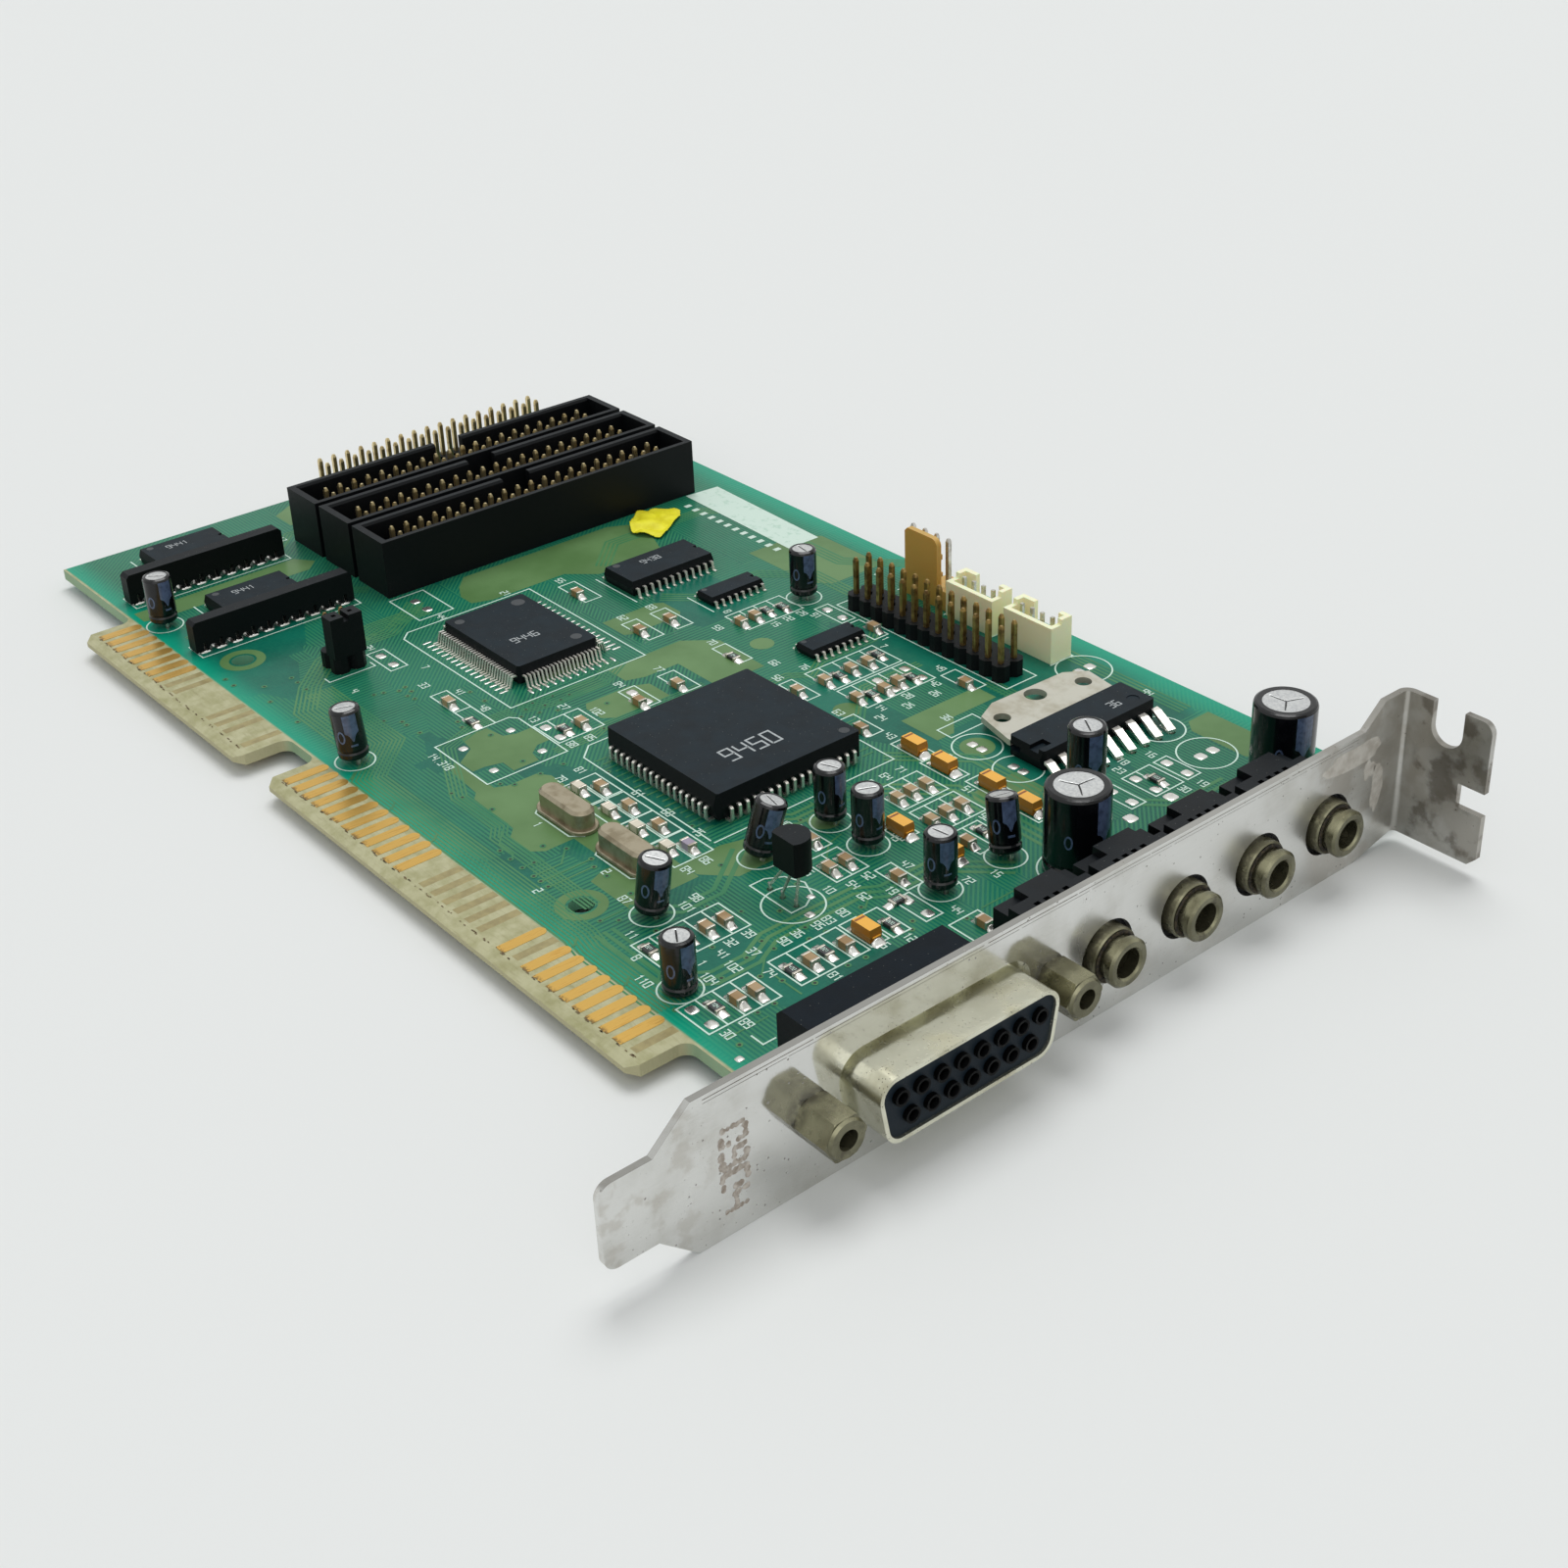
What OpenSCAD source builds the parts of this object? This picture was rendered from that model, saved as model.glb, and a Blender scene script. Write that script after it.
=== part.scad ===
// ISA sound card, component side up, standing on the long edge of its slot bracket.
// Card coordinates: X = 0 on the outer face of the bracket, running positive outwards;
// Y = 0 at the inner ends of the edge contacts; Z = 0 on the table.

/* [Board] */
// Height of the board's upper face above the table
board_face = 3.08; // [2.6:0.02:3.6]
// Board thickness
board_thick = 1.6; // [1.2:0.1:2.0]
// Distance from the bracket's outer face to the far end of the board
board_reach = 185.5; // [170:0.5:210]
// Gap between the bracket's outer face and the near end of the board
board_gap = 1.9; // [1.2:0.1:3]
// Y of the board's top edge
board_top = 98.0; // [95:0.5:106]
// Y of the board's lower edge, beside the tabs
board_low = -0.4; // [-1:0.1:0]
// How far the tabs stand below that edge
tab_depth = 7.6; // [7:0.1:8.5]
// Distance from the bracket to the first contact
first_contact = 26.53; // [26:0.01:27]
// Contact pitch along the tabs
contact_pitch = 2.54; // [2.54:0.01:2.54]
// Board left beyond the last contact of the long tab
tab_margin = 2.415; // [2.2:0.005:2.6]
// Distance between the last contact of one tab and the first of the other
tab_step = 12.7; // [12.7:0.1:12.7]
// Board left beyond the last contact of the short tab
short_margin = 2.41; // [2.2:0.01:2.6]
// Radius in the corner where a tab meets the board
tab_root = 1.6; // [0.5:0.1:3]
// Corner cut on the tab ends
tab_corner = 1.2; // [0.5:0.1:2]
// Depth of the bevel on the tabs' edges
tab_bevel = 0.45; // [0.2:0.05:0.6]
// Length of that bevel
bevel_run = 1.3; // [0.8:0.1:2]
// Radius of the two tooling holes
tool_radius = 1.6; // [1.2:0.05:2]
// Distance of the near tooling hole from the bracket
tool_near = 53.1; // [50:0.1:56]
// Distance of the far tooling hole from the bracket
tool_far = 138.0; // [135:0.1:142]
// Y of the tooling holes
tool_y = 5.9; // [5:0.1:7]
// Width of a gold contact
contact_width = 1.6; // [1.2:0.05:1.9]
// Length of a gold contact
contact_length = 6.3; // [5.5:0.1:7]
// Thickness of a gold contact
contact_thick = 0.05; // [0.03:0.01:0.1]

/* [Bracket] */
// Sheet thickness
sheet = 0.86; // [0.8:0.01:1.0]
// Width of the bracket body
bracket_width = 18.42; // [18.42:0.01:18.42]
// Length from the bend to the tip of the tongue
bracket_length = 120.02; // [120.02:0.01:120.02]
// Y of the outer face of the bent tab
bend_y = 91.8; // [91:0.1:93]
// Inner radius of the bend
bend_radius = 0.7; // [0.4:0.1:1.5]
// Width of the tongue
tongue_width = 10.2; // [9.5:0.1:11]
// Length of the tongue below its shoulders
tongue_length = 6.2; // [5:0.1:8]
// Length of the slope between body and tongue
shoulder_run = 4.6; // [3:0.1:6]
// Extra width of the body beside the bend
wing_rise = 2.9; // [2:0.1:4]
// Length of the widened end
wing_length = 8.6; // [7:0.1:10]
// Length of the slope up to the widened end
wing_slope = 3.6; // [2:0.1:5]
// Height of the lower corner cut beside the bend
heel_rise = 1.6; // [1:0.1:2.5]
// How far the tab reaches from the body's outer face
tab_reach = 12.1; // [11.4:0.1:12.6]
// Radius of the screw notch
notch_radius = 2.21; // [2.0:0.01:2.5]
// Distance of the screw notch from the body's outer face
notch_x = 6.0; // [5:0.1:7]
// Height of the notch's round end
notch_z = 18.1; // [17:0.1:19]
// Width of the square side notch
side_notch = 3.2; // [2.5:0.1:4]
// Height of that notch above the table
side_notch_z = 8.7; // [8:0.1:10]
// Depth of that notch
side_notch_deep = 3.7; // [3:0.1:4.5]

/* [Audio jacks] */
// Y of the first jack
jack_y = 39.2; // [38:0.1:40]
// Distance between jacks
jack_pitch = 12.7; // [12.7:0.1:13]
// Height of the jack axis above the board
jack_axis = 5.0; // [4.5:0.1:5.5]
// Radius of the plug bore
jack_bore = 1.8; // [1.8:0.01:1.85]
// Radius of the barrel
jack_barrel = 2.9; // [2.7:0.1:3.2]
// Radius of the collar at the barrel's root
jack_collar = 3.4; // [3.1:0.1:3.6]
// How far the barrel stands out of the bracket
jack_out = 3.3; // [2.8:0.1:4]
// Gap between collar and bracket hole
jack_clear = 0.6; // [0.3:0.1:0.9]
// Width of a jack body
jack_width = 11.4; // [11:0.1:12]
// Height of a jack body
jack_height = 8.5; // [8:0.1:9.5]
// Depth of a jack body behind the bracket
jack_depth = 11.2; // [10.5:0.1:12]

/* [Joystick socket] */
// Y of the socket's centre
socket_y = 13.9; // [13:0.1:15]
// Height of its axis above the board
socket_axis = 5.72; // [5.4:0.02:6]
// How far the shell stands out of the bracket
shell_out = 5.15; // [4.8:0.05:6]
// Width of the shell across its longer side
shell_wide = 24.9; // [24.5:0.1:25.3]
// Height of the shell
shell_tall = 8.3; // [8:0.1:8.6]
// Corner radius of the shell
shell_corner = 2.3; // [1.8:0.1:2.6]
// Slope of the shell's ends
shell_slope = 10; // [10:1:10]
// Shell wall
shell_wall = 0.5; // [0.4:0.05:0.6]
// Clear gap between shell and bracket
shell_clear = 0.9; // [0.5:0.1:1.2]
// Thickness of the flange behind the bracket
flange_thick = 0.6; // [0.5:0.05:0.8]
// Length of the flange
flange_long = 38.4; // [38:0.1:39.5]
// Height of the flange
flange_tall = 10.6; // [10:0.1:11]
// Distance between the jackscrews
screw_span = 33.3; // [33.3:0.01:33.33]
// Size of a jackscrew across its flats
screw_flats = 4.8; // [4.7:0.05:5.0]
// How far a jackscrew stands out
screw_out = 5.2; // [4.8:0.1:5.6]
// Radius of the threaded hole
screw_hole = 1.2; // [1.15:0.01:1.25]
// Depth of the threaded hole
screw_deep = 4.4; // [3.5:0.1:5]
// Radius of the jackscrew's shank
screw_shank = 1.4; // [1.3:0.01:1.45]
// Pitch of the socket's holes
hole_pitch = 2.77; // [2.77:0.01:2.77]
// Distance between the two rows
row_step = 2.84; // [2.84:0.01:2.84]
// Radius of a socket hole
hole_radius = 0.95; // [0.8:0.05:1]
// Width of the rear cover
cover_wide = 22.6; // [22:0.1:24]
// Depth of the rear cover behind the flange
cover_deep = 10.8; // [10:0.1:12]
// Height of the rear cover
cover_tall = 9.3; // [8.8:0.1:9.8]
// Wall of the rear cover
cover_wall = 1.0; // [0.8:0.1:1.4]

/* [Pin headers] */
// Width of a square pin
pin = 0.64; // [0.5:0.01:0.64]
// Pin pitch
pitch = 2.54; // [2.54:0.01:2.54]
// Radius of the board's pin holes
pin_hole = 0.5; // [0.48:0.01:0.55]
// Distance of the near box header's face from the bracket
box_front = 140.94; // [140:0.01:142]
// Y of the box headers' middle
box_y = 60.8; // [60:0.1:62]
// Distance between box headers
box_step = 10.16; // [10.16:0.01:10.5]
// Length of a box header
box_long = 58.2; // [58:0.1:58.5]
// Depth of a box header
box_deep = 9.0; // [8.8:0.1:9.2]
// Height of a box header
box_tall = 9.17; // [9:0.01:9.3]
// Wall of a box header
box_wall = 1.1; // [0.9:0.05:1.3]
// Floor of a box header
box_floor = 2.4; // [2:0.1:3]
// Width of the key gap
key_wide = 5.0; // [4.5:0.1:5.4]
// Height of the box header pins above the board
box_pin = 8.6; // [8:0.1:9]
// Columns in a box header
box_columns = 20; // [20:1:20]
// Distance of the rear pin header from the bracket
rear_x = 178.0; // [177:0.1:179]
// Y of its middle
rear_y = 62.7; // [62:0.1:63.5]
// Columns in the rear pin header
rear_columns = 17; // [17:1:17]
// Distance of the side pin header from the bracket
side_x = 74.6; // [74:0.1:75.5]
// Y of its middle
side_y = 82.4; // [82:0.1:83]
// Columns in the side pin header
side_columns = 13; // [13:1:13]
// Height of the bare headers' plastic
base_tall = 2.5; // [2:0.1:3]
// Height of the bare headers' pins above the board
bare_pin = 8.3; // [8:0.1:9]
// Distance of the jumper block from the bracket
jumper_x = 126.6; // [126:0.1:128]
// Y of the jumper block
jumper_y = 16.0; // [15:0.1:17]
// Height of the jumper cap
cap_tall = 6.2; // [5.5:0.1:7]

/* [Locking headers] */
// Distance of the latch header from the bracket
latch_x = 84.8; // [84:0.1:86]
// Y of its pins
latch_y = 91.5; // [91:0.1:92.5]
// Height of the latch plate above the board
latch_tall = 10.9; // [10:0.1:12]
// Width of the latch plate
latch_wide = 7.0; // [6:0.1:7.4]
// Distance of the near wafer from the bracket
wafer_near = 62.3; // [62:0.05:63]
// Distance of the far wafer from the bracket
wafer_far = 74.25; // [74:0.05:75]
// Y of the wafers
wafer_y = 91.2; // [91:0.1:92.5]
// Length of a wafer
wafer_long = 9.6; // [9.2:0.1:10.4]
// Depth of a wafer
wafer_deep = 4.1; // [3.8:0.1:4.6]
// Height of a wafer's walls
wafer_tall = 5.6; // [5:0.1:6.2]
// Height of a wafer's locking ears
ear_tall = 6.4; // [6.3:0.1:8]

/* [Chips] */
// Distance of the large square chip from the bracket
square_x = 67.8; // [67:0.1:69]
// Y of the large square chip
square_y = 40.5; // [40:0.1:41]
// Side of its body
square_side = 24.2; // [24.1:0.01:24.33]
// Leads on each of its sides
square_leads = 17; // [17:1:17]
// Lead pitch of the square and the small chips
wide_pitch = 1.27; // [1.27:0.01:1.27]
// Distance of the flat chip from the bracket
flat_x = 113.7; // [113:0.1:114.5]
// Y of the flat chip
flat_y = 37.55; // [37:0.05:38]
// Lead pitch of the flat chip
fine_pitch = 0.65; // [0.65:0.01:0.65]
// Distance of the long small-outline chip from the bracket
so24_x = 119.4; // [119:0.1:120]
// Y of that chip
so24_y = 66.6; // [66:0.1:67]
// Distance of the far narrow chip from the bracket
so16_far = 106.6; // [106:0.1:107]
// Distance of the near narrow chip from the bracket
so16_near = 83.3; // [82.5:0.1:84]
// Y of both narrow chips
so16_y = 70.4; // [70:0.1:71]
// Distance of the near rear chip from the bracket
so20_near = 153.2; // [152.5:0.1:154]
// Distance of the far rear chip from the bracket
so20_far = 175.4; // [175:0.1:176]
// Y of both rear chips
so20_y = 15.9; // [15:0.1:16.5]
// Distance of the near resistor pack from the bracket
pack_near = 145.0; // [144.5:0.1:146]
// Distance of the far resistor pack from the bracket
pack_far = 166.8; // [166:0.1:167.5]
// Y of the packs' first pin
pack_y = 3.2; // [3:0.1:3.5]
// Height of a pack above the board
pack_tall = 5.0; // [4.8:0.1:5.6]
// Thickness of a pack
pack_thick = 2.2; // [1.8:0.1:2.5]

/* [Power amplifier] */
// Distance of the body's near face from the bracket
amp_x = 37.2; // [36.5:0.1:38]
// Y of its middle
amp_y = 78.0; // [77.5:0.1:79]
// Width of the body along the board's height
amp_long = 21.6; // [21:0.1:22]
// Depth of the body
amp_deep = 6.9; // [6.5:0.1:7.3]
// Thickness of the body
amp_thick = 2.85; // [2.5:0.05:3.2]
// Reach of the heat tab beyond the body
fin_reach = 8.7; // [8.4:0.1:9.4]
// Thickness of the heat tab
fin_thick = 0.9; // [0.5:0.1:1.1]
// Height of the heat tab above the board
fin_lift = 1.0; // [0.6:0.1:1.1]
// Leads of the amplifier
amp_leads_count = 9; // [9:1:9]

/* [Capacitors and crystals] */
// Radius of a small can
can_radius = 2.05; // [2:0.05:2.6]
// Length of a small can
can_long = 7.2; // [7:0.1:7.6]
// Gap under a small can
can_lift = 1.0; // [0.4:0.1:1.4]
// Radius of the middle-sized can
tall_radius = 2.5; // [2.3:0.05:2.6]
// Length of the middle-sized can
tall_long = 10.8; // [10:0.1:11.5]
// Radius of a large can
drum_radius = 4.1; // [4:0.05:4.2]
// Length of a large can
drum_long = 11.6; // [11.2:0.1:12]
// Length of a chip capacitor
chip_long = 2.0; // [1.9:0.1:2.1]
// Width of a chip capacitor
chip_wide = 1.3; // [1.2:0.05:1.4]
// Height of a chip capacitor
chip_tall = 1.1; // [0.8:0.1:1.25]
// Height of a chip resistor
resistor_tall = 0.55; // [0.45:0.05:0.65]
// Length of a moulded tantalum capacitor
tantalum_long = 3.4; // [3.2:0.1:3.6]
// Width of a moulded tantalum capacitor
tantalum_wide = 1.9; // [1.6:0.1:2.2]
// Height of a moulded tantalum capacitor
tantalum_tall = 1.9; // [1.6:0.1:2.1]
// Length of a crystal can
crystal_long = 9.7; // [9.4:0.1:10.6]
// Width of a crystal can
crystal_wide = 3.3; // [3.2:0.1:4]
// Height of a crystal can
crystal_tall = 3.0; // [2.8:0.1:4]

/* [Hidden] */
$fn = 64;
board_under = board_face - board_thick;
board_far = -board_reach;
tab_end = board_low - tab_depth;
first_x = -first_contact;
long_right = first_x + tab_margin;
long_left = first_x - 30 * contact_pitch - tab_margin;
short_first = first_x - 30 * contact_pitch - tab_step;
short_right = short_first + short_margin;
short_left = short_first - 17 * contact_pitch - short_margin;
tongue_tip = bend_y - bracket_length;
middle_x = (board_far + tab_reach) / 2;
middle_y = (tongue_tip + board_top) / 2;
bracket_mid = bracket_width / 2;
jack_z = board_face + jack_axis;
socket_z = board_face + socket_axis;
tiny = 0.01;

// Places a card-coordinate child so the row's origin is the middle of its footprint
module place() { translate([-middle_x, -middle_y, 0]) children(); }

// A plain box from its lowest corner to its highest
module block(a, b) { translate(a) cube([b[0] - a[0], b[1] - a[1], b[2] - a[2]]); }

// Unit vector turned a quarter to the right of a to b
function side(a, b) = let (d = b - a) [d[1], -d[0]] / norm(d);

// Convex outline with true round corners: centres c anticlockwise, radius r
module rounded(c, r) {
  n = len(c);
  polygon([for (i = [0:n - 1]) each [c[i] + r * side(c[(i + n - 1) % n], c[i]),
    c[i] + r * side(c[i], c[(i + 1) % n])]]);
  for (p = c) translate(p) circle(r);
}

// Rounded rectangle about the origin
module soft(w, h, r) {
  a = w / 2 - r;
  b = h / 2 - r;
  rounded([[-a, -b], [a, -b], [a, b], [-a, b]], r);
}

// Turns a flat YZ drawing so it stands across X, thick from x to x + t
module across(x, t) { translate([x, 0, 0]) rotate([90, 0, 90]) linear_extrude(t) children(); }

// Turns a flat XZ drawing so it stands across Y, thick from y to y + t
module along(y, t) { translate([0, y + t, 0]) rotate([90, 0, 0]) linear_extrude(t) children(); }

// Grid of points with n columns along X and m along Y about a centre
function spots(x, y, n, m, s) = [for (i = [0:n - 1], j = [0:m - 1])
  [x + (i - (n - 1) / 2) * s, y + (j - (m - 1) / 2) * s]];

function box_x(k) = -box_front - box_deep / 2 - k * box_step;
box_spots = [for (k = [0:2]) each spots(box_x(k), box_y, 2, box_columns, pitch)];
rear_spots = spots(-rear_x, rear_y, 2, rear_columns, pitch);
side_spots = spots(-side_x, side_y, side_columns, 2, pitch);
jumper_spots = spots(-jumper_x, jumper_y, 2, 2, pitch);
latch_spots = spots(-latch_x, latch_y, 4, 1, pitch);
wafer_spots = [for (x = [wafer_near, wafer_far]) each spots(-x, wafer_y, 4, 1, 2)];
pack_spots = [for (x = [pack_near, pack_far], i = [0:9]) [-x, pack_y + i * pitch]];
// Small cans: X, Y, how far the top leans along X and Y over 8 mm, how much lower it sits
small_spots = [[-45.9, 10.9, 1.0, 0.5, 0], [-31.8, 4.4, 0, 0, 0.8], [-46.8, 27.7, 0.9, 2.05, 0],
  [-47.1, 39.5, 0, 0, 0], [-39.9, 39.4, 0, 0, 0], [-26.7, 39.2, 0, 0, 0],
  [-26.5, 49.8, -1.8, 0.8, 0], [-98.0, 77.7, 0, 0, 0], [-156.3, 2.7, 0, 0, 0],
  [-101.4, 3.3, -0.4, -0.4, 0]];
tall_spots = [[-28.9, 66.2]];
large_spots = [[-18.9, 54.1], [-15.2, 87.6]];
leg_spots = [[-40.6, 24.4], [-38.2, 24.4], [-35.7, 24.4]];
leg_tops = [[-38.17, 24.9], [-36.9, 24.9], [-35.63, 24.9]];
crystal_spots = [[-70.3, 15.8], [-57.4, 15.8]];
can_holes = [for (p = concat(small_spots, tall_spots), s = [-1, 1]) [p[0] + 0.9 * s, p[1]]];
drum_holes = [for (p = large_spots) each [p + [0, 1.75], p - [0, 1.75]]];
crystal_holes = [for (p = crystal_spots) each [p + [2.44, 0], p - [2.44, 0]]];
socket_holes = [for (i = [0:7]) [-5.4, socket_y + (i - 3.5) * hole_pitch],
  for (i = [0:6]) [-8.2, socket_y + (i - 3) * hole_pitch]];
foot_holes = [for (s = [-1, 1]) [-7.6, socket_y + s * screw_span / 2]];
function jack_line(k) = jack_y + k * jack_pitch;
jack_holes = [for (k = [0:3]) each [[-4, jack_line(k) - 3.5], [-9.5, jack_line(k) - 3.5],
  [-9.5, jack_line(k) + 3.5]]];
amp_spots = [for (i = [0:amp_leads_count - 1]) [4 - amp_x, amp_y - 1 + (i - 4) * pitch]];
chip_spots = [[-122, 53.1], [-105.5, 52.7], [-105.4, 58.1], [-88.5, 46.8], [-88.1, 39.9],
  [-88.7, 30.7], [-97.5, 65.2], [-97.6, 67.9], [-75.2, 62.4], [-68.4, 62.4], [-67.8, 66.9],
  [-68.1, 69.7], [-61.6, 57.2], [-73.1, 22.9], [-66.8, 22.8], [-60.5, 22.8], [-45, 48.8],
  [-45.1, 51.2], [-45.1, 53.8], [-38.2, 48.4], [-38.4, 51.1], [-38.4, 53.7], [-61.3, 76.2],
  [-75.4, 67.4], [-75.3, 70.5], [-38.7, 32.1], [-38.6, 34.6], [-31.7, 36.9], [-38.8, 13.5],
  [-38.7, 16.1], [-25.4, 23.2], [-25.7, 18.2], [-25.5, 10.1], [-25.6, 7.6], [-31.6, 48.3],
  [-44.9, 34.5], [-54.3, 22.7], [-105.9, 20.5], [-75.5, 57.7], [-82.8, 78.2],
  [-17.8, 37.8], [-74.8, 20.6], [-67.8, 20.4], [-61.9, 20.5], [-55.7, 20.5]];
resistor_spots = [[-75, 65.0], [-67.9, 64.7], [-67.8, 72.1], [-89.1, 28.2], [-40, 6.2],
  [-39.2, 10.9], [-26.1, 20.7], [-25.9, 15.7], [-28.2, 33.6, 90], [-25.1, 29.8], [-26.3, 5.1],
  [-32.4, 51.6], [-99.3, 20.1], [-89.9, 57.7], [-98.0, 70.5], [-97.4, 73.0], [-76.3, 73.2],
  [-26.1, 76.4]];
tantalum_spots = [[-52.9, 58.9], [-46.8, 58.6], [-39.1, 59.8], [-32.4, 59.5], [-39.4, 44.2],
  [-25.5, 26.4], [-31.2, 44.9]];

// Fillet in an inner corner at p, opening towards signs s
module inner_corner(p, s, r) {
  translate(p) scale([s[0], s[1]]) difference() {
    translate([-tiny, -tiny]) square(r + tiny);
    translate([r, r]) circle(r);
  }
}

module board_outline() {
  polygon([[board_far, board_low], [short_left, board_low], [short_left, tab_end + tab_corner],
    [short_left + tab_corner, tab_end], [short_right - tab_corner, tab_end],
    [short_right, tab_end + tab_corner], [short_right, board_low], [long_left, board_low],
    [long_left, tab_end + tab_corner], [long_left + tab_corner, tab_end],
    [long_right - tab_corner, tab_end], [long_right, tab_end + tab_corner],
    [long_right, board_low], [-board_gap, board_low], [-board_gap, board_top],
    [board_far, board_top]]);
  inner_corner([short_left, board_low], [-1, -1], tab_root);
  inner_corner([short_right, board_low], [1, -1], tab_root);
  inner_corner([long_left, board_low], [-1, -1], tab_root);
  inner_corner([long_right, board_low], [1, -1], tab_root);
}

// Wedge removed along a tab edge; up is 1 for the component side, -1 for the other
module bevel(x, length, up) {
  z = up > 0 ? board_face : board_under;
  translate([x, tab_end, z]) rotate([90, 0, 90]) linear_extrude(length)
    polygon([[-1, up], [bevel_run + bevel_run / tab_bevel, up], [bevel_run, 0],
      [0, -up * tab_bevel], [-1, -up * tab_bevel]]);
}

module circuit_board() color("green") place() difference() {
  translate([0, 0, board_under]) linear_extrude(board_thick) difference() {
    board_outline();
    for (x = [tool_near, tool_far]) translate([-x, tool_y]) circle(tool_radius);
    for (p = concat(box_spots, rear_spots, side_spots, jumper_spots, latch_spots, wafer_spots))
      translate(p) circle(pin_hole);
    for (p = concat(pack_spots, can_holes, drum_holes, crystal_holes, leg_spots))
      translate(p) circle(0.42);
    for (p = concat(socket_holes, jack_holes, amp_spots)) translate(p) circle(0.6);
    for (p = foot_holes) translate(p) circle(1.5);
  }
  for (up = [-1, 1]) {
    bevel(short_left - 1, short_right - short_left + 2, up);
    bevel(long_left - 1, long_right - long_left + 2, up);
  }
}

// One gold contact with a round inner end, its tip at the tab's bevel
module contact(x, z) {
  w = contact_width / 2;
  translate([x, 0, z]) linear_extrude(contact_thick) {
    translate([-w, -contact_length]) square([contact_width, contact_length - w]);
    translate([0, -w]) circle(w);
  }
}

// Numbers of the contacts present on each tab and side, counted from the bracket
top_long = [1, 2, 3, 4, 5, 6, 7, 8, 10, 19, 20, 21, 22, 23, 24, 25, 26, 27, 28, 29, 30];
under_long = [0, 1, 2, 4, 6, 8, 9, 12, 13, 14, 15, 16, 17, 19, 20, 21, 22, 23, 24, 25, 28, 30];
top_short = [10, 11, 12, 13, 14, 15, 16, 17];
under_short = [0, 2, 3, 4, 8, 9, 10, 11, 12, 15, 17];
module edge_contacts() color("gold") place() {
  for (i = top_long) contact(first_x - i * contact_pitch, board_face);
  for (i = top_short) contact(short_first - i * contact_pitch, board_face);
  for (i = under_long) contact(first_x - i * contact_pitch, board_under - contact_thick);
  for (i = under_short) contact(short_first - i * contact_pitch, board_under - contact_thick);
}

// D outline of the joystick socket in Y and Z, grown by g, its long side up
module dee(g) {
  r = shell_corner + g;
  h = shell_tall / 2 - shell_corner;
  lean = tan(shell_slope) * h;
  w = shell_wide / 2 - shell_corner - lean;
  translate([socket_y, socket_z])
    rounded([[-w + lean, -h], [w - lean, -h], [w + lean, h], [-w - lean, h]], r);
}

module bracket_face() {
  fold = bend_y - sheet - bend_radius;
  low = bracket_mid - tongue_width / 2;
  high = bracket_mid + tongue_width / 2;
  shoulder = tongue_tip + tongue_length;
  difference() {
    union() {
      polygon([[shoulder, low], [shoulder + shoulder_run, 0], [bend_y - wing_length, 0],
        [fold, heel_rise], [fold, bracket_width + wing_rise],
        [bend_y - wing_length + wing_slope, bracket_width + wing_rise],
        [bend_y - wing_length, bracket_width], [shoulder + shoulder_run, bracket_width],
        [shoulder, high]]);
      rounded([[tongue_tip + 1.6, low + 1.6], [shoulder, low + 1.6], [shoulder, high - 1.6],
        [tongue_tip + 1.6, high - 1.6]], 1.6);
    }
    dee(shell_clear);
    for (s = [-1, 1]) translate([socket_y + s * screw_span / 2, socket_z]) circle(screw_shank + 0.2);
    for (k = [0:3]) translate([jack_line(k), jack_z]) circle(jack_collar + jack_clear);
  }
}

module bracket() color("silver") place() {
  fold = bend_y - sheet - bend_radius;
  out = bend_radius + sheet;
  top = bracket_width + wing_rise;
  across(-sheet, sheet) bracket_face();
  translate([bend_radius, fold, heel_rise]) linear_extrude(top - heel_rise) intersection() {
    difference() {
      circle(out);
      circle(bend_radius);
    }
    translate([-out, 0]) square(out);
  }
  along(bend_y - sheet, sheet) difference() {
    union() {
      polygon([[bend_radius, heel_rise], [tab_reach - 1.2, heel_rise], [tab_reach, heel_rise + 1.2],
        [tab_reach, top - 1.5], [tab_reach - 1.5, top], [bend_radius, top]]);
      translate([tab_reach - 1.5, top - 1.5]) circle(1.5);
    }
    translate([notch_x, notch_z]) circle(notch_radius);
    translate([notch_x - notch_radius, notch_z]) square([2 * notch_radius, 10]);
    translate([tab_reach - side_notch_deep, side_notch_z]) square([10, side_notch]);
  }
}

module socket_shell() color("khaki") place() difference() {
  union() {
    across(-sheet - flange_thick, flange_thick) difference() {
      translate([socket_y, socket_z]) soft(flange_long, flange_tall, 1.2);
      for (s = [-1, 1]) translate([socket_y + s * screw_span / 2, socket_z]) circle(1.55);
    }
    across(-sheet, sheet + shell_out) dee(0);
  }
  across(-10, 30) dee(-shell_wall);
}

// Rows of socket holes in Y and Z: eight above seven
function hole_spots() = [for (i = [0:7]) [socket_y + (i - 3.5) * hole_pitch, socket_z + row_step / 2],
  for (i = [0:6]) [socket_y + (i - 3) * hole_pitch, socket_z - row_step / 2]];

module socket_insert() color("black") place() difference() {
  back = -sheet - flange_thick;
  across(back, shell_out - 0.35 - back) dee(-shell_wall);
  across(back - 1, 20) for (p = hole_spots()) translate(p) circle(hole_radius);
}

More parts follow.
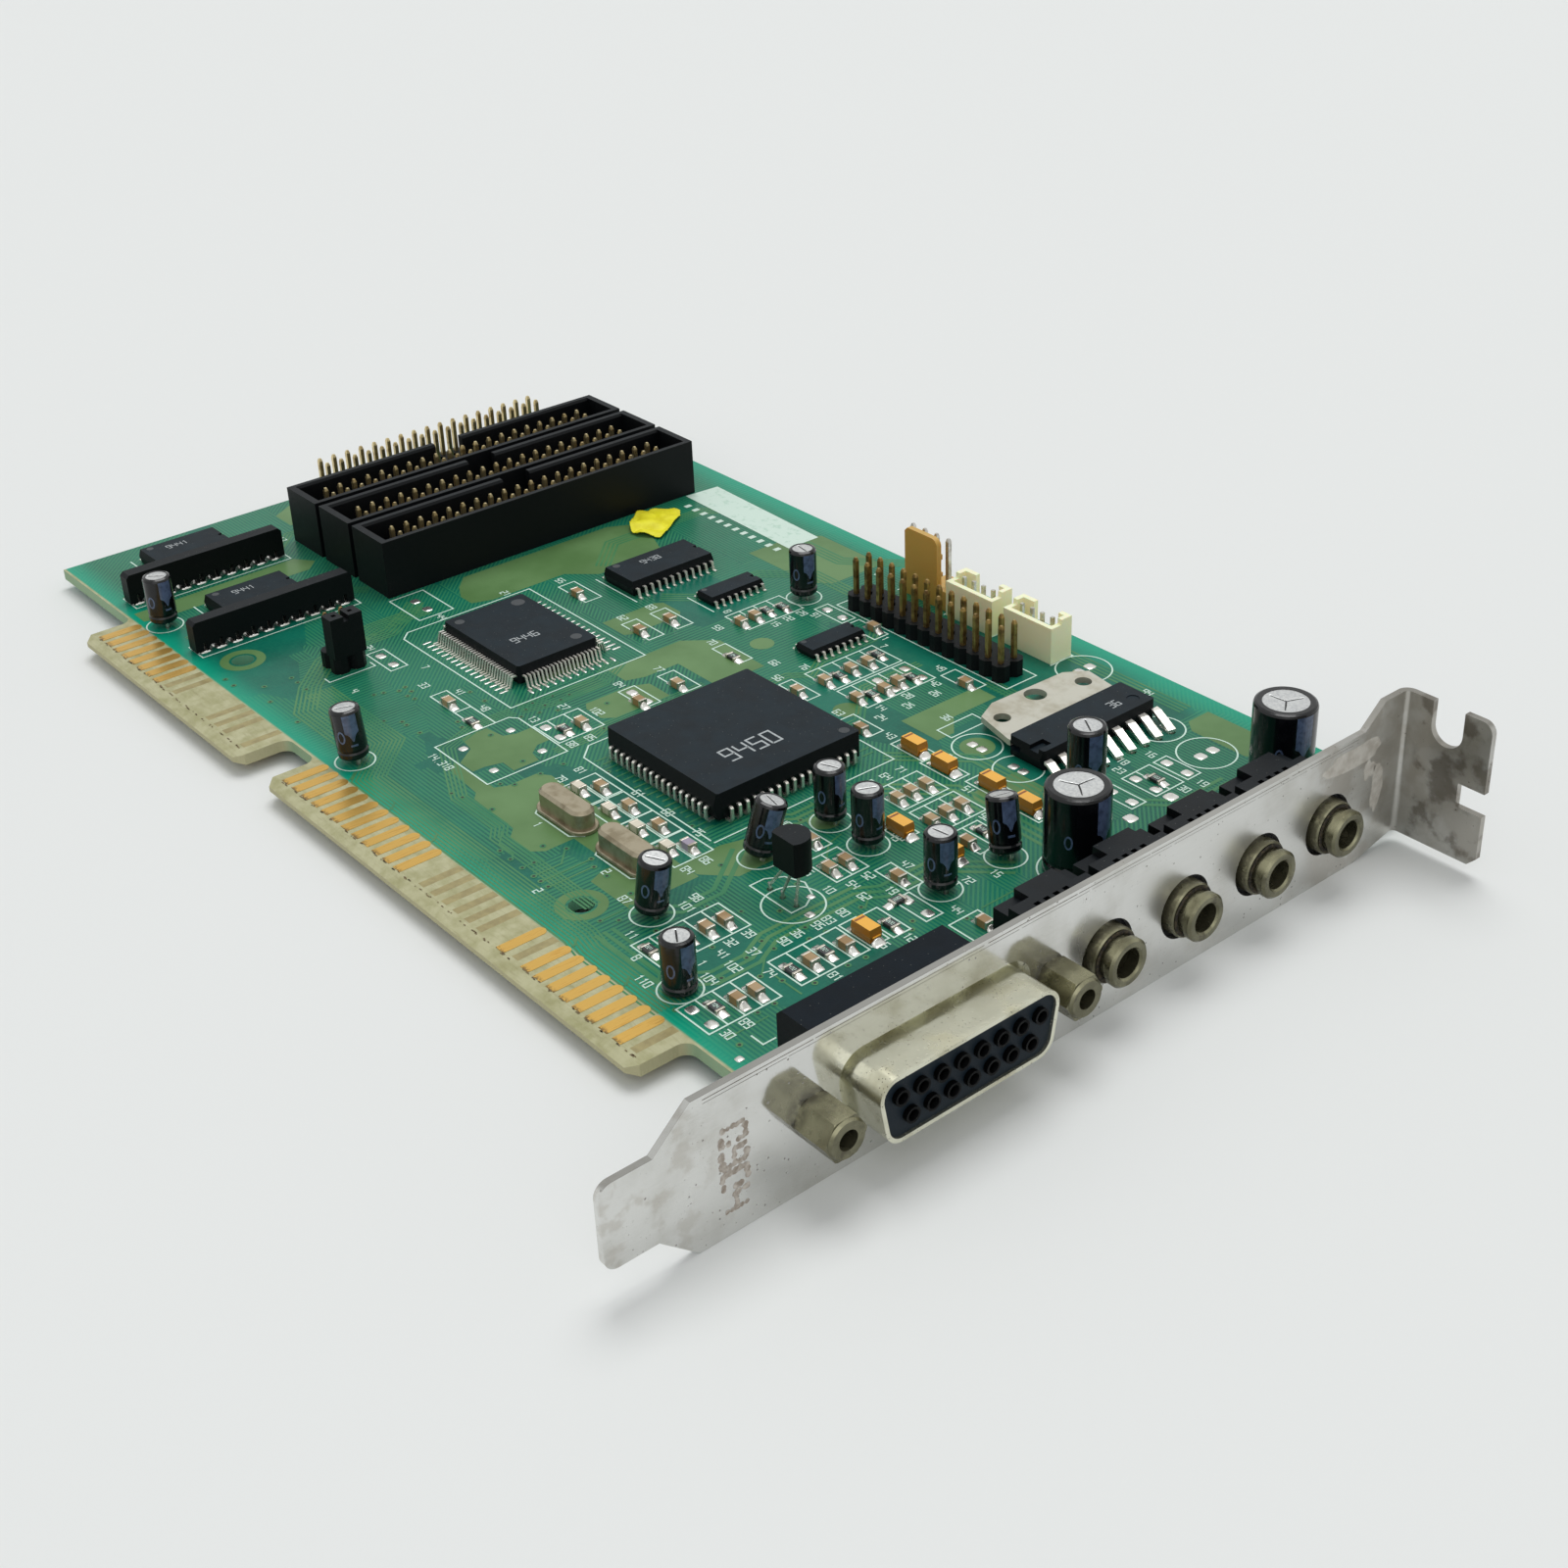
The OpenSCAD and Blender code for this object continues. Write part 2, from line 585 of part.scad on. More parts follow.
module socket_contacts() color("gold") place() {
  back = -sheet - flange_thick;
  for (i = [0:14]) {
    p = hole_spots()[i];
    h = socket_holes[i];
    translate([back, p[0], p[1]]) rotate([0, 90, 0]) difference() {
      cylinder(h = 5.4 - back, r = hole_radius);
      translate([0, 0, 1]) cylinder(h = 20, r = 0.55);
      translate([0, 0, 4.9 - back]) cylinder(h = 2, r1 = 0.55, r2 = 1.05);
    }
    block([h[0] - 0.25, p[0] - 0.25, p[1] - 0.25], [back, p[0] + 0.25, p[1] + 0.25]);
    block([h[0] - 0.25, p[0] - 0.25, 0.35], [h[0] + 0.25, p[0] + 0.25, p[1] - 0.25]);
  }
}

module socket_cover() color("black") place() {
  back = -sheet - flange_thick;
  top = board_face + cover_tall;
  half = cover_wide / 2;
  difference() {
    union() {
      along(socket_y - half, cover_wide) polygon([[back - cover_deep, board_face],
        [back, board_face], [back, top], [back - cover_deep + 0.8, top],
        [back - cover_deep, top - 0.8]]);
      for (s = [-1, 1]) block([back - cover_deep + 3, socket_y + s * half - 2.2, board_face],
        [back - 2, socket_y + s * half + 2.2, board_face + 4.2]);
    }
    block([back - cover_deep + cover_wall, socket_y - half + cover_wall, 0],
      [back + 1, socket_y + half - cover_wall, top - cover_wall]);
  }
}

// Folded metal feet that tie the flange to the board
module socket_feet() color("tan") place() for (s = [-1, 1]) {
  y = socket_y + s * screw_span / 2;
  back = -sheet - flange_thick;
  difference() {
    block([back - 0.8, y - 2.5, board_face], [back, y + 2.5, socket_z + 4]);
    translate([back - 1, y, socket_z]) rotate([0, 90, 0]) cylinder(h = 3, r = screw_shank);
  }
  difference() {
    block([back - 8.6, y - 2.5, board_face], [back - 0.8, y + 2.5, board_face + 0.8]);
    translate([-7.6, y, 0]) cylinder(h = 10, r = 1.1);
  }
  translate([-7.6, y, 0.25]) difference() {
    cylinder(h = board_face + 0.8 - 0.25, r = 1.1);
    translate([-0.25, -3, -1]) cube([0.5, 6, 3]);
  }
}

// Six-sided standoff with a tapped hole, chamfered at both ends
module jackscrew(y) color("gray") place() translate([0, y, socket_z]) rotate([0, 90, 0]) {
  wide = screw_flats / cos(30) / 2;
  difference() {
    union() {
      intersection() {
        rotate(30) cylinder(h = screw_out, r = wide, $fn = 6);
        cylinder(h = screw_out - 0.35, r1 = wide - 0.3 + screw_out - 0.35, r2 = wide - 0.1);
        cylinder(h = screw_out, r1 = wide - 0.3, r2 = wide + screw_out - 0.3);
      }
      translate([0, 0, screw_out - 0.4]) cylinder(h = 0.4, r1 = screw_flats / 2, r2 = screw_flats / 2 - 0.25);
      translate([0, 0, -4.2]) cylinder(h = 4.2, r = screw_shank);
    }
    translate([0, 0, screw_out - screw_deep]) cylinder(h = screw_deep + 1, r = screw_hole);
  }
}
module jackscrew_low() jackscrew(socket_y - screw_span / 2);
module jackscrew_high() jackscrew(socket_y + screw_span / 2);

// Moulded jack body: slotted roof, open groove at the back, round seat for the sleeve
module jack_body(k) color("black") place() translate([0, jack_line(k), 0]) {
  back = -sheet - jack_depth;
  half = jack_width / 2;
  top = board_face + jack_height;
  difference() {
    block([back, -half, board_face], [-sheet, half, top]);
    translate([back + 1.2, 0, jack_z]) rotate([0, 90, 0]) cylinder(h = 20, r = jack_barrel - 0.4);
    translate([-sheet - 2.2, 0, jack_z]) rotate([0, 90, 0]) cylinder(h = 5, r = jack_collar);
    block([back - 1, -half - 1, top - 1.1], [back + 2.4, -half + 3.2, top + 1]);
    block([back - 1, half - 2.2, top - 1.1], [back + 3.2, half + 1, top + 1]);
    for (i = [0:3]) block([back + 3.6, -3.1 + i * 1.5, top - 0.9], [back + 6.8, -2.3 + i * 1.5, top + 1]);
    block([back + 4.4, 3.4, top - 1.2], [back + 8, 4.6, top + 1]);
    block([back - 1, -half + 1.5, board_face - 1], [back + 1, half - 1.5, board_face + 1.2]);
    for (h = [[-4, -3.5], [-9.5, -3.5], [-9.5, 3.5]])
      block([h[0] - 0.5, h[1] - 0.25, 0], [h[0] + 0.5, h[1] + 0.25, board_face + 2.6]);
  }
}
module jack_body_1() jack_body(0);
module jack_body_2() jack_body(1);
module jack_body_3() jack_body(2);
module jack_body_4() jack_body(3);

// Turned metal sleeve with collar, waist and chamfered lip
module jack_sleeve(k) color("khaki") place() translate([0, jack_line(k), jack_z]) rotate([0, 90, 0])
  rotate_extrude() polygon([[jack_bore, -sheet - 2.2], [jack_collar, -sheet - 2.2],
    [jack_collar, 1.0], [jack_collar - 0.15, 1.2], [jack_barrel - 0.3, 1.2],
    [jack_barrel - 0.3, jack_out - 1.2],
    [jack_barrel + 0.1, jack_out - 1.0], [jack_barrel + 0.1, jack_out - 0.3],
    [jack_barrel - 0.2, jack_out], [jack_bore + 0.25, jack_out], [jack_bore, jack_out - 0.25]]);
module jack_sleeve_1() jack_sleeve(0);
module jack_sleeve_2() jack_sleeve(1);
module jack_sleeve_3() jack_sleeve(2);
module jack_sleeve_4() jack_sleeve(3);

module jack_contacts() color("silver") place()
  for (h = jack_holes) block([h[0] - 0.45, h[1] - 0.2, 0.3], [h[0] + 0.45, h[1] + 0.2, board_face + 2.6]);

// Open box header with a key gap in the wall facing away from the bracket
module box_header(k) color("black") place() translate([box_x(k), box_y, board_face]) {
  a = box_deep / 2;
  b = box_long / 2;
  difference() {
    block([-a, -b, 0], [a, b, box_tall]);
    block([-a + box_wall, -b + box_wall, box_floor], [a - box_wall, b - box_wall, box_tall + 1]);
    for (s = [-1, 1]) translate([s * (a - box_wall), 0, box_tall]) rotate([90, 0, 0])
      linear_extrude(box_long - 2 * box_wall, center = true)
        polygon([[-s * 0.1, 0.1], [s * 0.35, 0.1], [-s * 0.1, -0.5]]);
    block([-a - 1, -key_wide / 2, box_floor + 0.6], [-a + box_wall + 1, key_wide / 2, box_tall + 1]);
    for (s = [-1, 1]) block([-a + 1.5, s * (b - 6) - 4, -1], [a - 1.5, s * (b - 6) + 4, 0.45]);
    linear_extrude(box_floor + 1) for (p = spots(0, 0, 2, box_columns, pitch))
      translate(p) square(pin, center = true);
  }
}
module box_header_near() box_header(0);
module box_header_middle() box_header(1);
module box_header_far() box_header(2);

// Outline of one square pin with tapered ends, seen from the side at u
module pin_side(u, low, high) translate([u, 0]) polygon([[-0.2, low], [0.2, low], [pin / 2, low + 0.3],
  [pin / 2, high - 0.5], [0.18, high], [-0.18, high], [-pin / 2, high - 0.5], [-pin / 2, low + 0.3]]);

// Grid of n by m pins about a centre: one comb seen from each side, crossed
module pins(x, y, n, m, low, high) intersection() {
  along(y - m * pitch, 2 * m * pitch)
    for (i = [0:n - 1]) pin_side(x + (i - (n - 1) / 2) * pitch, low, high);
  across(x - n * pitch, 2 * n * pitch)
    for (j = [0:m - 1]) pin_side(y + (j - (m - 1) / 2) * pitch, low, high);
}
module box_header_pins() color("gold") place() for (k = [0:2])
  pins(box_x(k), box_y, 2, box_columns, 0, board_face + box_pin);

// Bare header: notched plastic strip of n by m cells, drilled for its pins
module strip(x, y, n, m) translate([x, y, board_face]) difference() {
  linear_extrude(base_tall) difference() {
    for (p = spots(0, 0, n, m, pitch)) translate(p) rotate(22.5) circle(r = 1.375, $fn = 8);
    for (p = spots(0, 0, n, m, pitch)) translate(p) square(pin, center = true);
  }
}
module rear_header() color("black") place() strip(-rear_x, rear_y, 2, rear_columns);
module side_header() color("black") place() strip(-side_x, side_y, side_columns, 2);
module jumper_block() color("black") place() strip(-jumper_x, jumper_y, 2, 2);
module rear_header_pins() color("gold") place() 
  pins(-rear_x, rear_y, 2, rear_columns, 0, board_face + bare_pin);
module side_header_pins() color("gold") place() 
  pins(-side_x, side_y, side_columns, 2, 0.2, board_face + bare_pin);
module jumper_pins() color("gold") place() 
  pins(-jumper_x, jumper_y, 2, 2, 0.2, board_face + bare_pin);

// Shunt on the two near posts
module jumper_cap() color("black") place() translate([-jumper_x + pitch / 2, jumper_y, board_face + base_tall]) {
  difference() {
    block([-1.25, -2.5, 0], [1.25, 2.5, cap_tall]);
    for (s = [-1, 1]) block([-pin / 2, s * pitch / 2 - pin / 2, -1], [pin / 2, s * pitch / 2 + pin / 2, cap_tall + 1]);
    block([-2, -0.4, cap_tall - 0.8], [2, 0.4, cap_tall + 1]);
  }
}

// Header with a tall flexible latch plate on its lower side
module latch_header() color("goldenrod") place() translate([-latch_x, latch_y, board_face]) {
  difference() {
    union() {
      block([-5.08, -1.6, 0], [5.08, 2.9, 3.1]);
      along(-1.6, 0.9) {
        polygon([[-4, 3], [latch_wide - 4, 3], [latch_wide - 4, latch_tall - 1.2],
          [latch_wide - 5.2, latch_tall], [-3.4, latch_tall], [-4, latch_tall - 0.6]]);
        translate([latch_wide - 5.2, latch_tall - 1.2]) circle(1.2);
      }
      block([-4, -0.8, latch_tall - 3.4], [latch_wide - 4, -0.45, latch_tall - 2.6]);
    }
    for (p = spots(0, 0, 4, 1, pitch)) block([p[0] - pin / 2, -pin / 2, -1], [p[0] + pin / 2, pin / 2, 4]);
    for (i = [-1:1]) block([i * pitch - 0.5, 1.6, 1], [i * pitch + 0.5, 4, 4]);
  }
}
module latch_header_pins() color("silver") place() 
  pins(-latch_x, latch_y, 4, 1, 0.2, board_face + 11);

// Shrouded wafer with an open upper side and a locking ear at each end
module wafer(x) color("beige") place() translate([-x, wafer_y, board_face]) {
  a = wafer_long / 2;
  b = wafer_deep / 2;
  difference() {
    union() {
      block([-a, -b, 0], [a, b, wafer_tall]);
      block([-a, 0, 1], [-a + 2.9, b, ear_tall]);
      block([a - 1.9, 0, 1], [a, b, ear_tall]);
    }
    block([-a + 0.8, -b + 0.8, 1.8], [a - 0.8, b - 0.8, 10]);
    block([-a + 2.9, b - 1, 1.8], [a - 1.9, b + 1, 10]);
    for (p = spots(0, 0, 4, 1, 2)) block([p[0] - 0.25, -0.25, -1], [p[0] + 0.25, 0.25, 4]);
  }
}
module wafer_near_body() wafer(wafer_near);
module wafer_far_body() wafer(wafer_far);
module wafer_pins() color("silver") place() for (p = wafer_spots)
  block([p[0] - 0.25, p[1] - 0.25, 0.2], [p[0] + 0.25, p[1] + 0.25, board_face + 6.2]);

// Moulded chip body, widest at mid height, from low to high with cut corners
module moulded(w, l, low, high, draft, cut) {
  mid = (low + high) / 2;
  intersection() {
    along(-l, 2 * l) hexagon(w, low, mid, high, draft);
    across(-w, 2 * w) hexagon(l, low, mid, high, draft);
    translate([0, 0, low - 1]) linear_extrude(high - low + 2) cornered(w, l, cut);
  }
}
module hexagon(w, low, mid, high, draft) polygon([[-w / 2 + draft, low], [w / 2 - draft, low],
  [w / 2, mid], [w / 2 - draft, high], [-w / 2 + draft, high], [-w / 2, mid]]);
module cornered(w, l, c) polygon([[-w / 2 + c, -l / 2], [w / 2 - c, -l / 2], [w / 2, -l / 2 + c],
  [w / 2, l / 2 - c], [w / 2 - c, l / 2], [-w / 2 + c, l / 2], [-w / 2, l / 2 - c], [-w / 2, -l / 2 + c]]);

module square_chip() color("black") place() translate([-square_x, square_y, board_face])
  moulded(square_side, square_side, 0.6, 4.4, 0.35, 0.9);

// One J lead, leaving the body towards +X at the origin's height
module j_lead() along(-0.22, 0.44) polygon([[0, 2.25], [0.32, 2.25], [0.55, 2.05], [0.55, 0.5],
  [0.2, 0], [-0.75, 0], [-0.95, 0.3], [-0.75, 0.3], [0.1, 0.3], [0.3, 0.62], [0.3, 1.98], [0, 1.98]]);
module square_chip_leads() color("silver") place() translate([-square_x, square_y, board_face])
  for (q = [0:3]) rotate(q * 90) for (i = [0:square_leads - 1])
    translate([square_side / 2, (i - (square_leads - 1) / 2) * wide_pitch, 0]) j_lead();

module flat_chip() color("black") place() translate([-flat_x, flat_y, board_face])
  moulded(20, 14, 0.25, 2.95, 0.3, 0.9);

// One gull-wing lead of width w leaving a body at height h, reaching r
module gull(w, h, r) along(-w / 2, w) polygon([[0, h + 0.1], [r * 0.42, h + 0.1], [r * 0.62, 0.17],
  [r, 0.17], [r, 0], [r * 0.5, 0], [r * 0.32, h - 0.1], [0, h - 0.1]]);
module flat_chip_leads() color("silver") place() translate([-flat_x, flat_y, board_face]) {
  for (s = [0, 180]) rotate(s) {
    for (i = [0:29]) translate([(i - 14.5) * fine_pitch, 7, 0]) rotate(90) gull(0.3, 1.6, 1.95);
    for (i = [0:19]) translate([10, (i - 9.5) * fine_pitch, 0]) gull(0.3, 1.6, 1.95);
  }
}

// Small-outline body with an orientation groove at its upper end
module small_body(x, y, w, l, h) color("black") place() translate([-x, y, board_face]) difference() {
  moulded(w, l, 0.15, h, 0.25, 0.05);
  translate([0, l / 2, h]) rotate([90, 0, 0]) cylinder(h = 0.9, r = 0.35);
}
module long_chip() small_body(so24_x, so24_y, 7.5, 15.4, 2.5);
module narrow_chip_far() small_body(so16_far, so16_y, 3.9, 9.9, 1.6);
module narrow_chip_near() small_body(so16_near, so16_y, 3.9, 9.9, 1.6);
module rear_chip_near() small_body(so20_near, so20_y, 7.5, 12.8, 2.5);
module rear_chip_far() small_body(so20_far, so20_y, 7.5, 12.8, 2.5);

// Both lead rows of a small-outline chip
module rows(x, y, w, n, mid, reach) translate([-x, y, board_face]) for (s = [0, 180]) rotate(s)
  for (i = [0:n - 1]) translate([w / 2, (i - (n - 1) / 2) * wide_pitch, 0]) gull(0.42, mid, reach);
module small_chip_leads() color("silver") place() {
  rows(so24_x, so24_y, 7.5, 12, 1.325, 1.4);
  rows(so16_far, so16_y, 3.9, 8, 0.875, 1.05);
  rows(so16_near, so16_y, 3.9, 8, 0.875, 1.05);
  rows(so20_near, so20_y, 7.5, 10, 1.325, 1.4);
  rows(so20_far, so20_y, 7.5, 10, 1.325, 1.4);
}

// Resistor pack on edge, its lower edge arched between the pins
module pack(x) color("black") place() translate([-x, 0, board_face]) {
  start = pack_y - 1.45;
  finish = pack_y + 9 * pitch + 1.45;
  across(-pack_thick / 2, pack_thick) difference() {
    polygon([[start, 0.3], [finish, 0.3], [finish, pack_tall - 0.5], [finish - 0.5, pack_tall],
      [start + 0.5, pack_tall], [start, pack_tall - 0.5]]);
    for (i = [0:8]) translate([pack_y + (i + 0.5) * pitch, 0.3]) circle(0.75);
    for (i = [0:9]) translate([pack_y + i * pitch - 0.25, -1]) square([0.5, 2.6]);
  }
}
module resistor_pack_near() pack(pack_near);
module resistor_pack_far() pack(pack_far);
module resistor_pack_pins() color("silver") place() for (p = pack_spots)
  block([p[0] - 0.15, p[1] - 0.25, 0.3], [p[0] + 0.15, p[1] + 0.25, board_face + 1.6]);

// Power amplifier lying flat: body, heat tab with three holes, flat leads bent to the board
module amplifier() color("black") place() translate([-amp_x - amp_deep / 2, amp_y, board_face]) difference() {
  moulded(amp_deep, amp_long, 0.1, 0.1 + amp_thick, 0.3, 0.8);
  block([-amp_deep / 2 - 1, 8.8 - amp_long, fin_lift], [-amp_deep / 2 + 2.5, amp_long - 8.8, fin_lift + fin_thick]);
  translate([1.2, amp_long / 2 - 2.4, amp_thick]) cylinder(h = 1, r = 0.9);
  block([0.6, -amp_long / 2 - 1, amp_thick - 0.5], [2.2, -amp_long / 2 + 2.6, 5]);
}
module heat_tab() color("lightgray") place() translate([-amp_x - amp_deep, amp_y, board_face + fin_lift])
  linear_extrude(fin_thick) difference() {
    polygon([[2.5, -8.8], [2.5, 8.8], [0.1, 8.8], [0.1, 10.4], [-1, 10.4], [-6.1, 11.2],
      [0.4 - fin_reach, 8.2], [-fin_reach, -5], [-7, -8.6], [-0.3, -10.2], [0.1, -10.2], [0.1, -8.8]]);
    translate([-6.4, 1]) circle(1.6);
    translate([-4.85, -6.8]) circle(1.2);
    translate([-4.5, 8.4]) circle(1.2);
  }

// Flat leads: out of the body's face, slanting down and aside to their holes
module amplifier_leads() color("silver") place() for (p = amp_spots) {
  z = board_face + 0.1 + amp_thick / 2;
  run = norm([4, 1]);
  translate([-amp_x, p[1] + 1, 0]) {
    intersection() {
      rotate(-atan(1 / 4)) along(-0.6, 1.2) polygon([[-0.5, z + 0.2], [0.8, z + 0.2],
        [run + 0.25, board_face + 0.5], [run + 0.25, board_face], [run - 0.25, board_face],
        [0.7, z - 0.2], [-0.5, z - 0.2]]);
      block([0, -3, 0], [10, 3, 20]);
    }
    block([3.75, -1.3, 0.4], [4.25, -0.7, board_face + 0.1]);
  }
}

// Stadium-shaped slab of length l and width w with its upper edge cut by c
module capsule(l, w, h, c) {
  e = (l - w) / 2;
  for (s = [-1, 1]) translate([s * e, 0, 0]) {
    cylinder(h = h - c, r = w / 2);
    translate([0, 0, h - c]) cylinder(h = c, r1 = w / 2, r2 = w / 2 - c);
  }
  across(-e, 2 * e) polygon([[-w / 2, 0], [w / 2, 0], [w / 2, h - c], [w / 2 - c, h],
    [c - w / 2, h], [-w / 2, h - c]]);
}

// Low-profile crystal can on its flanged base
module crystal(p) color("tan") place() translate([p[0], p[1], board_face + 0.1]) {
  capsule(crystal_long + 0.9, crystal_wide + 0.9, 0.5, 0.1);
  capsule(crystal_long, crystal_wide, crystal_tall, 0.4);
  for (s = [-1, 1]) translate([s * 2.44, 0, 0.2 - board_face]) cylinder(h = board_face - 0.2, r = 0.22);
}
module crystal_far() crystal(crystal_spots[0]);
module crystal_near() crystal(crystal_spots[1]);

// Electrolytic can: sleeve rolled over the top rim, groove near the base
module can(r, length, lift) rotate_extrude() polygon([[0, lift], [r - 0.25, lift], [r, lift + 0.3],
  [r, lift + 0.12 * length], [r - 0.18, lift + 0.15 * length], [r - 0.18, lift + 0.17 * length],
  [r, lift + 0.2 * length], [r, lift + length - 0.45], [r - 0.12, lift + length - 0.15],
  [r - 0.4, lift + length], [r * 0.74, lift + length], [r * 0.72, lift + length - 0.12], [0, lift + length - 0.12]]);

// Stands its children on the spot of one small can, leaning as that can leans
module leaning(p) {
  turn = atan2(p[3], p[2]);
  translate([p[0], p[1], board_face + can_lift - p[4]])
    rotate(turn) rotate([0, asin(norm([p[2], p[3]]) / 8), 0]) rotate(-turn) children();
}
module small_cans() color("black") place() {
  for (p = small_spots) leaning(p) can(can_radius, can_long, 0);
  for (p = tall_spots) translate([p[0], p[1], board_face]) can(tall_radius, tall_long, 0.3);
}
module large_cans() color("black") place() for (p = large_spots)
  translate([p[0], p[1], board_face]) can(drum_radius, drum_long, 0.3);

// Round rod between two points
module rod(a, b, r) {
  d = b - a;
  translate(a) rotate([0, acos(d[2] / norm(d)), atan2(d[1], d[0])]) cylinder(h = norm(d), r = r);
}

// Wire leads of the cans and of the transistor
module can_leads() color("silver") place() {
  for (p = small_spots, s = [-1, 1]) {
    translate([p[0] + 0.9 * s, p[1], 0.3]) cylinder(h = board_face + can_lift - p[4] - 0.68, r = 0.25);
    leaning(p) translate([0.9 * s, 0, -0.8]) cylinder(h = 0.8, r = 0.25);
  }
  for (p = tall_spots, s = [-1, 1]) translate([p[0] + 0.9 * s, p[1], 0.3]) cylinder(h = board_face, r = 0.25);
  for (p = drum_holes) translate([p[0], p[1], 0.3]) cylinder(h = board_face, r = 0.3);
  for (i = [0:2]) {
    foot = [leg_spots[i][0], leg_spots[i][1], board_face + 0.6];
    knee = [leg_tops[i][0], leg_tops[i][1], board_face + 4];
    rod([foot[0], foot[1], 0.3], foot + [0, 0, 0.3], 0.24);
    rod(foot, knee, 0.2);
    rod(knee - [0, 0, 0.3], knee + [0, 0, 0.5], 0.24);
  }
}

module tantalum_capacitors() color("orange") place() for (p = tantalum_spots)
  translate([p[0], p[1], board_face]) {
    moulded(tantalum_long, tantalum_wide, 0.1, tantalum_tall, 0.12, 0.05);
    for (s = [-1, 1]) block([s * (tantalum_long / 2 - 0.1) - 0.3, -0.6, 0], [s * (tantalum_long / 2 - 0.1) + 0.3, 0.6, 0.9]);
  }

// Chip parts: ceramic middle with metal end caps a touch larger
module chips(list, h) for (p = list) translate([p[0], p[1], board_face]) rotate(len(p) > 2 ? p[2] : 0) {
  block([-chip_long / 2 + 0.35, -chip_wide / 2 + 0.02, 0.02], [chip_long / 2 - 0.35, chip_wide / 2 - 0.02, h - 0.02]);
  for (s = [-1, 1]) block([s * (chip_long / 2 - 0.175) - 0.175, -chip_wide / 2, 0], [s * (chip_long / 2 - 0.175) + 0.175, chip_wide / 2, h]);
}
module chip_capacitors() color("peru") place() chips(chip_spots, chip_tall);
module chip_resistors() color("dimgray") place() chips(resistor_spots, resistor_tall);

// Transistor body with a flat face towards the edge contacts
module transistor() color("black") place() translate([-36.9, 25, board_face + 4.5])
  linear_extrude(4.6) difference() {
    circle(2.35);
    translate([-4, -5.3]) square([8, 4]);
  }

circuit_board();
edge_contacts();
bracket();
socket_shell();
socket_insert();
socket_contacts();
socket_cover();
socket_feet();
jackscrew_low();
jackscrew_high();
jack_body_1();
jack_body_2();
jack_body_3();
jack_body_4();
jack_sleeve_1();
jack_sleeve_2();
jack_sleeve_3();
jack_sleeve_4();
jack_contacts();
box_header_near();
box_header_middle();
box_header_far();
box_header_pins();
rear_header();
rear_header_pins();
side_header();
side_header_pins();
latch_header();
latch_header_pins();
wafer_near_body();
wafer_far_body();
wafer_pins();
square_chip();
square_chip_leads();
flat_chip();
flat_chip_leads();
long_chip();
narrow_chip_far();
narrow_chip_near();
rear_chip_near();
rear_chip_far();
small_chip_leads();
resistor_pack_near();
resistor_pack_far();
resistor_pack_pins();
amplifier();
heat_tab();
amplifier_leads();
crystal_far();
crystal_near();
large_cans();
small_cans();
can_leads();
tantalum_capacitors();
chip_capacitors();
chip_resistors();
transistor();
jumper_block();
jumper_cap();
jumper_pins();
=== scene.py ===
import math
import random

import bmesh
import bpy
import numpy as np
from mathutils import Matrix, Vector, noise


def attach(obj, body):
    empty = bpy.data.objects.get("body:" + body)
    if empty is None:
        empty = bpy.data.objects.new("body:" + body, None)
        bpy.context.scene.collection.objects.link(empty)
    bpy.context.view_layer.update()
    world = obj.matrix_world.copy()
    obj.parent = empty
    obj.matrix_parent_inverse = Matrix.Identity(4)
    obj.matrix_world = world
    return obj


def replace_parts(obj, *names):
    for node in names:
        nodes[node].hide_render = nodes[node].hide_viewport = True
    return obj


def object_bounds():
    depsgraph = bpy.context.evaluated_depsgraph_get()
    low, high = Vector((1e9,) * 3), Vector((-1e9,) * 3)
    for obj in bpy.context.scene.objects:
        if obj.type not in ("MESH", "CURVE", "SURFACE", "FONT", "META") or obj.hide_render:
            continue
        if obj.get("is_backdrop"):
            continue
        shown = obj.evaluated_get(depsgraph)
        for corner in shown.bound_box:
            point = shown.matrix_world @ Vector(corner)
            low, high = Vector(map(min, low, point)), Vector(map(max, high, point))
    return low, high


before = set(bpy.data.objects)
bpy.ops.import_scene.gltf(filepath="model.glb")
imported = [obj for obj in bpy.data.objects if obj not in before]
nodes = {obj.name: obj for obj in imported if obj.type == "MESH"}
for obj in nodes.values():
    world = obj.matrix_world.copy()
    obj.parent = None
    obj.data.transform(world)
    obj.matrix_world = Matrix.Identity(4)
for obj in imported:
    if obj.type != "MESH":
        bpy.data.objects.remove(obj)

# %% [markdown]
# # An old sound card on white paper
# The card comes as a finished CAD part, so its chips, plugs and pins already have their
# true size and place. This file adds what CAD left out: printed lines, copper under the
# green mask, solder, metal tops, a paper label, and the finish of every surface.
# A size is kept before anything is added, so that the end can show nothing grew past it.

cad_low, cad_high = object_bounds()
rng = random.Random(7)
MM = 0.001
# The card's own corner, seen from the middle of the frame.
SHIFT = Vector((86.7, -34.89, 0))
# Heights of the board's two faces.
FACE = 3.08
UNDER = 1.48


def at(x, y, z):
    """A point given in the card's millimetres: X 0 at the bracket, Y 0 at the contacts."""
    return (Vector((x, y, z)) + SHIFT) * MM


print("CAD pieces:", len(nodes), "card size mm:", [round(v / MM, 1) for v in cad_high - cad_low])

# %% [markdown]
# ## Colours and shader sums
# A screen colour has to be turned into the light value that Blender mixes. Shader nodes
# could be joined by hand, but a sum such as `1 - dirt * 0.4` reads better as Python. So one
# class wraps a socket, and its operators add the Math or Vector Math node that is needed.

# %% A socket that can be added and multiplied


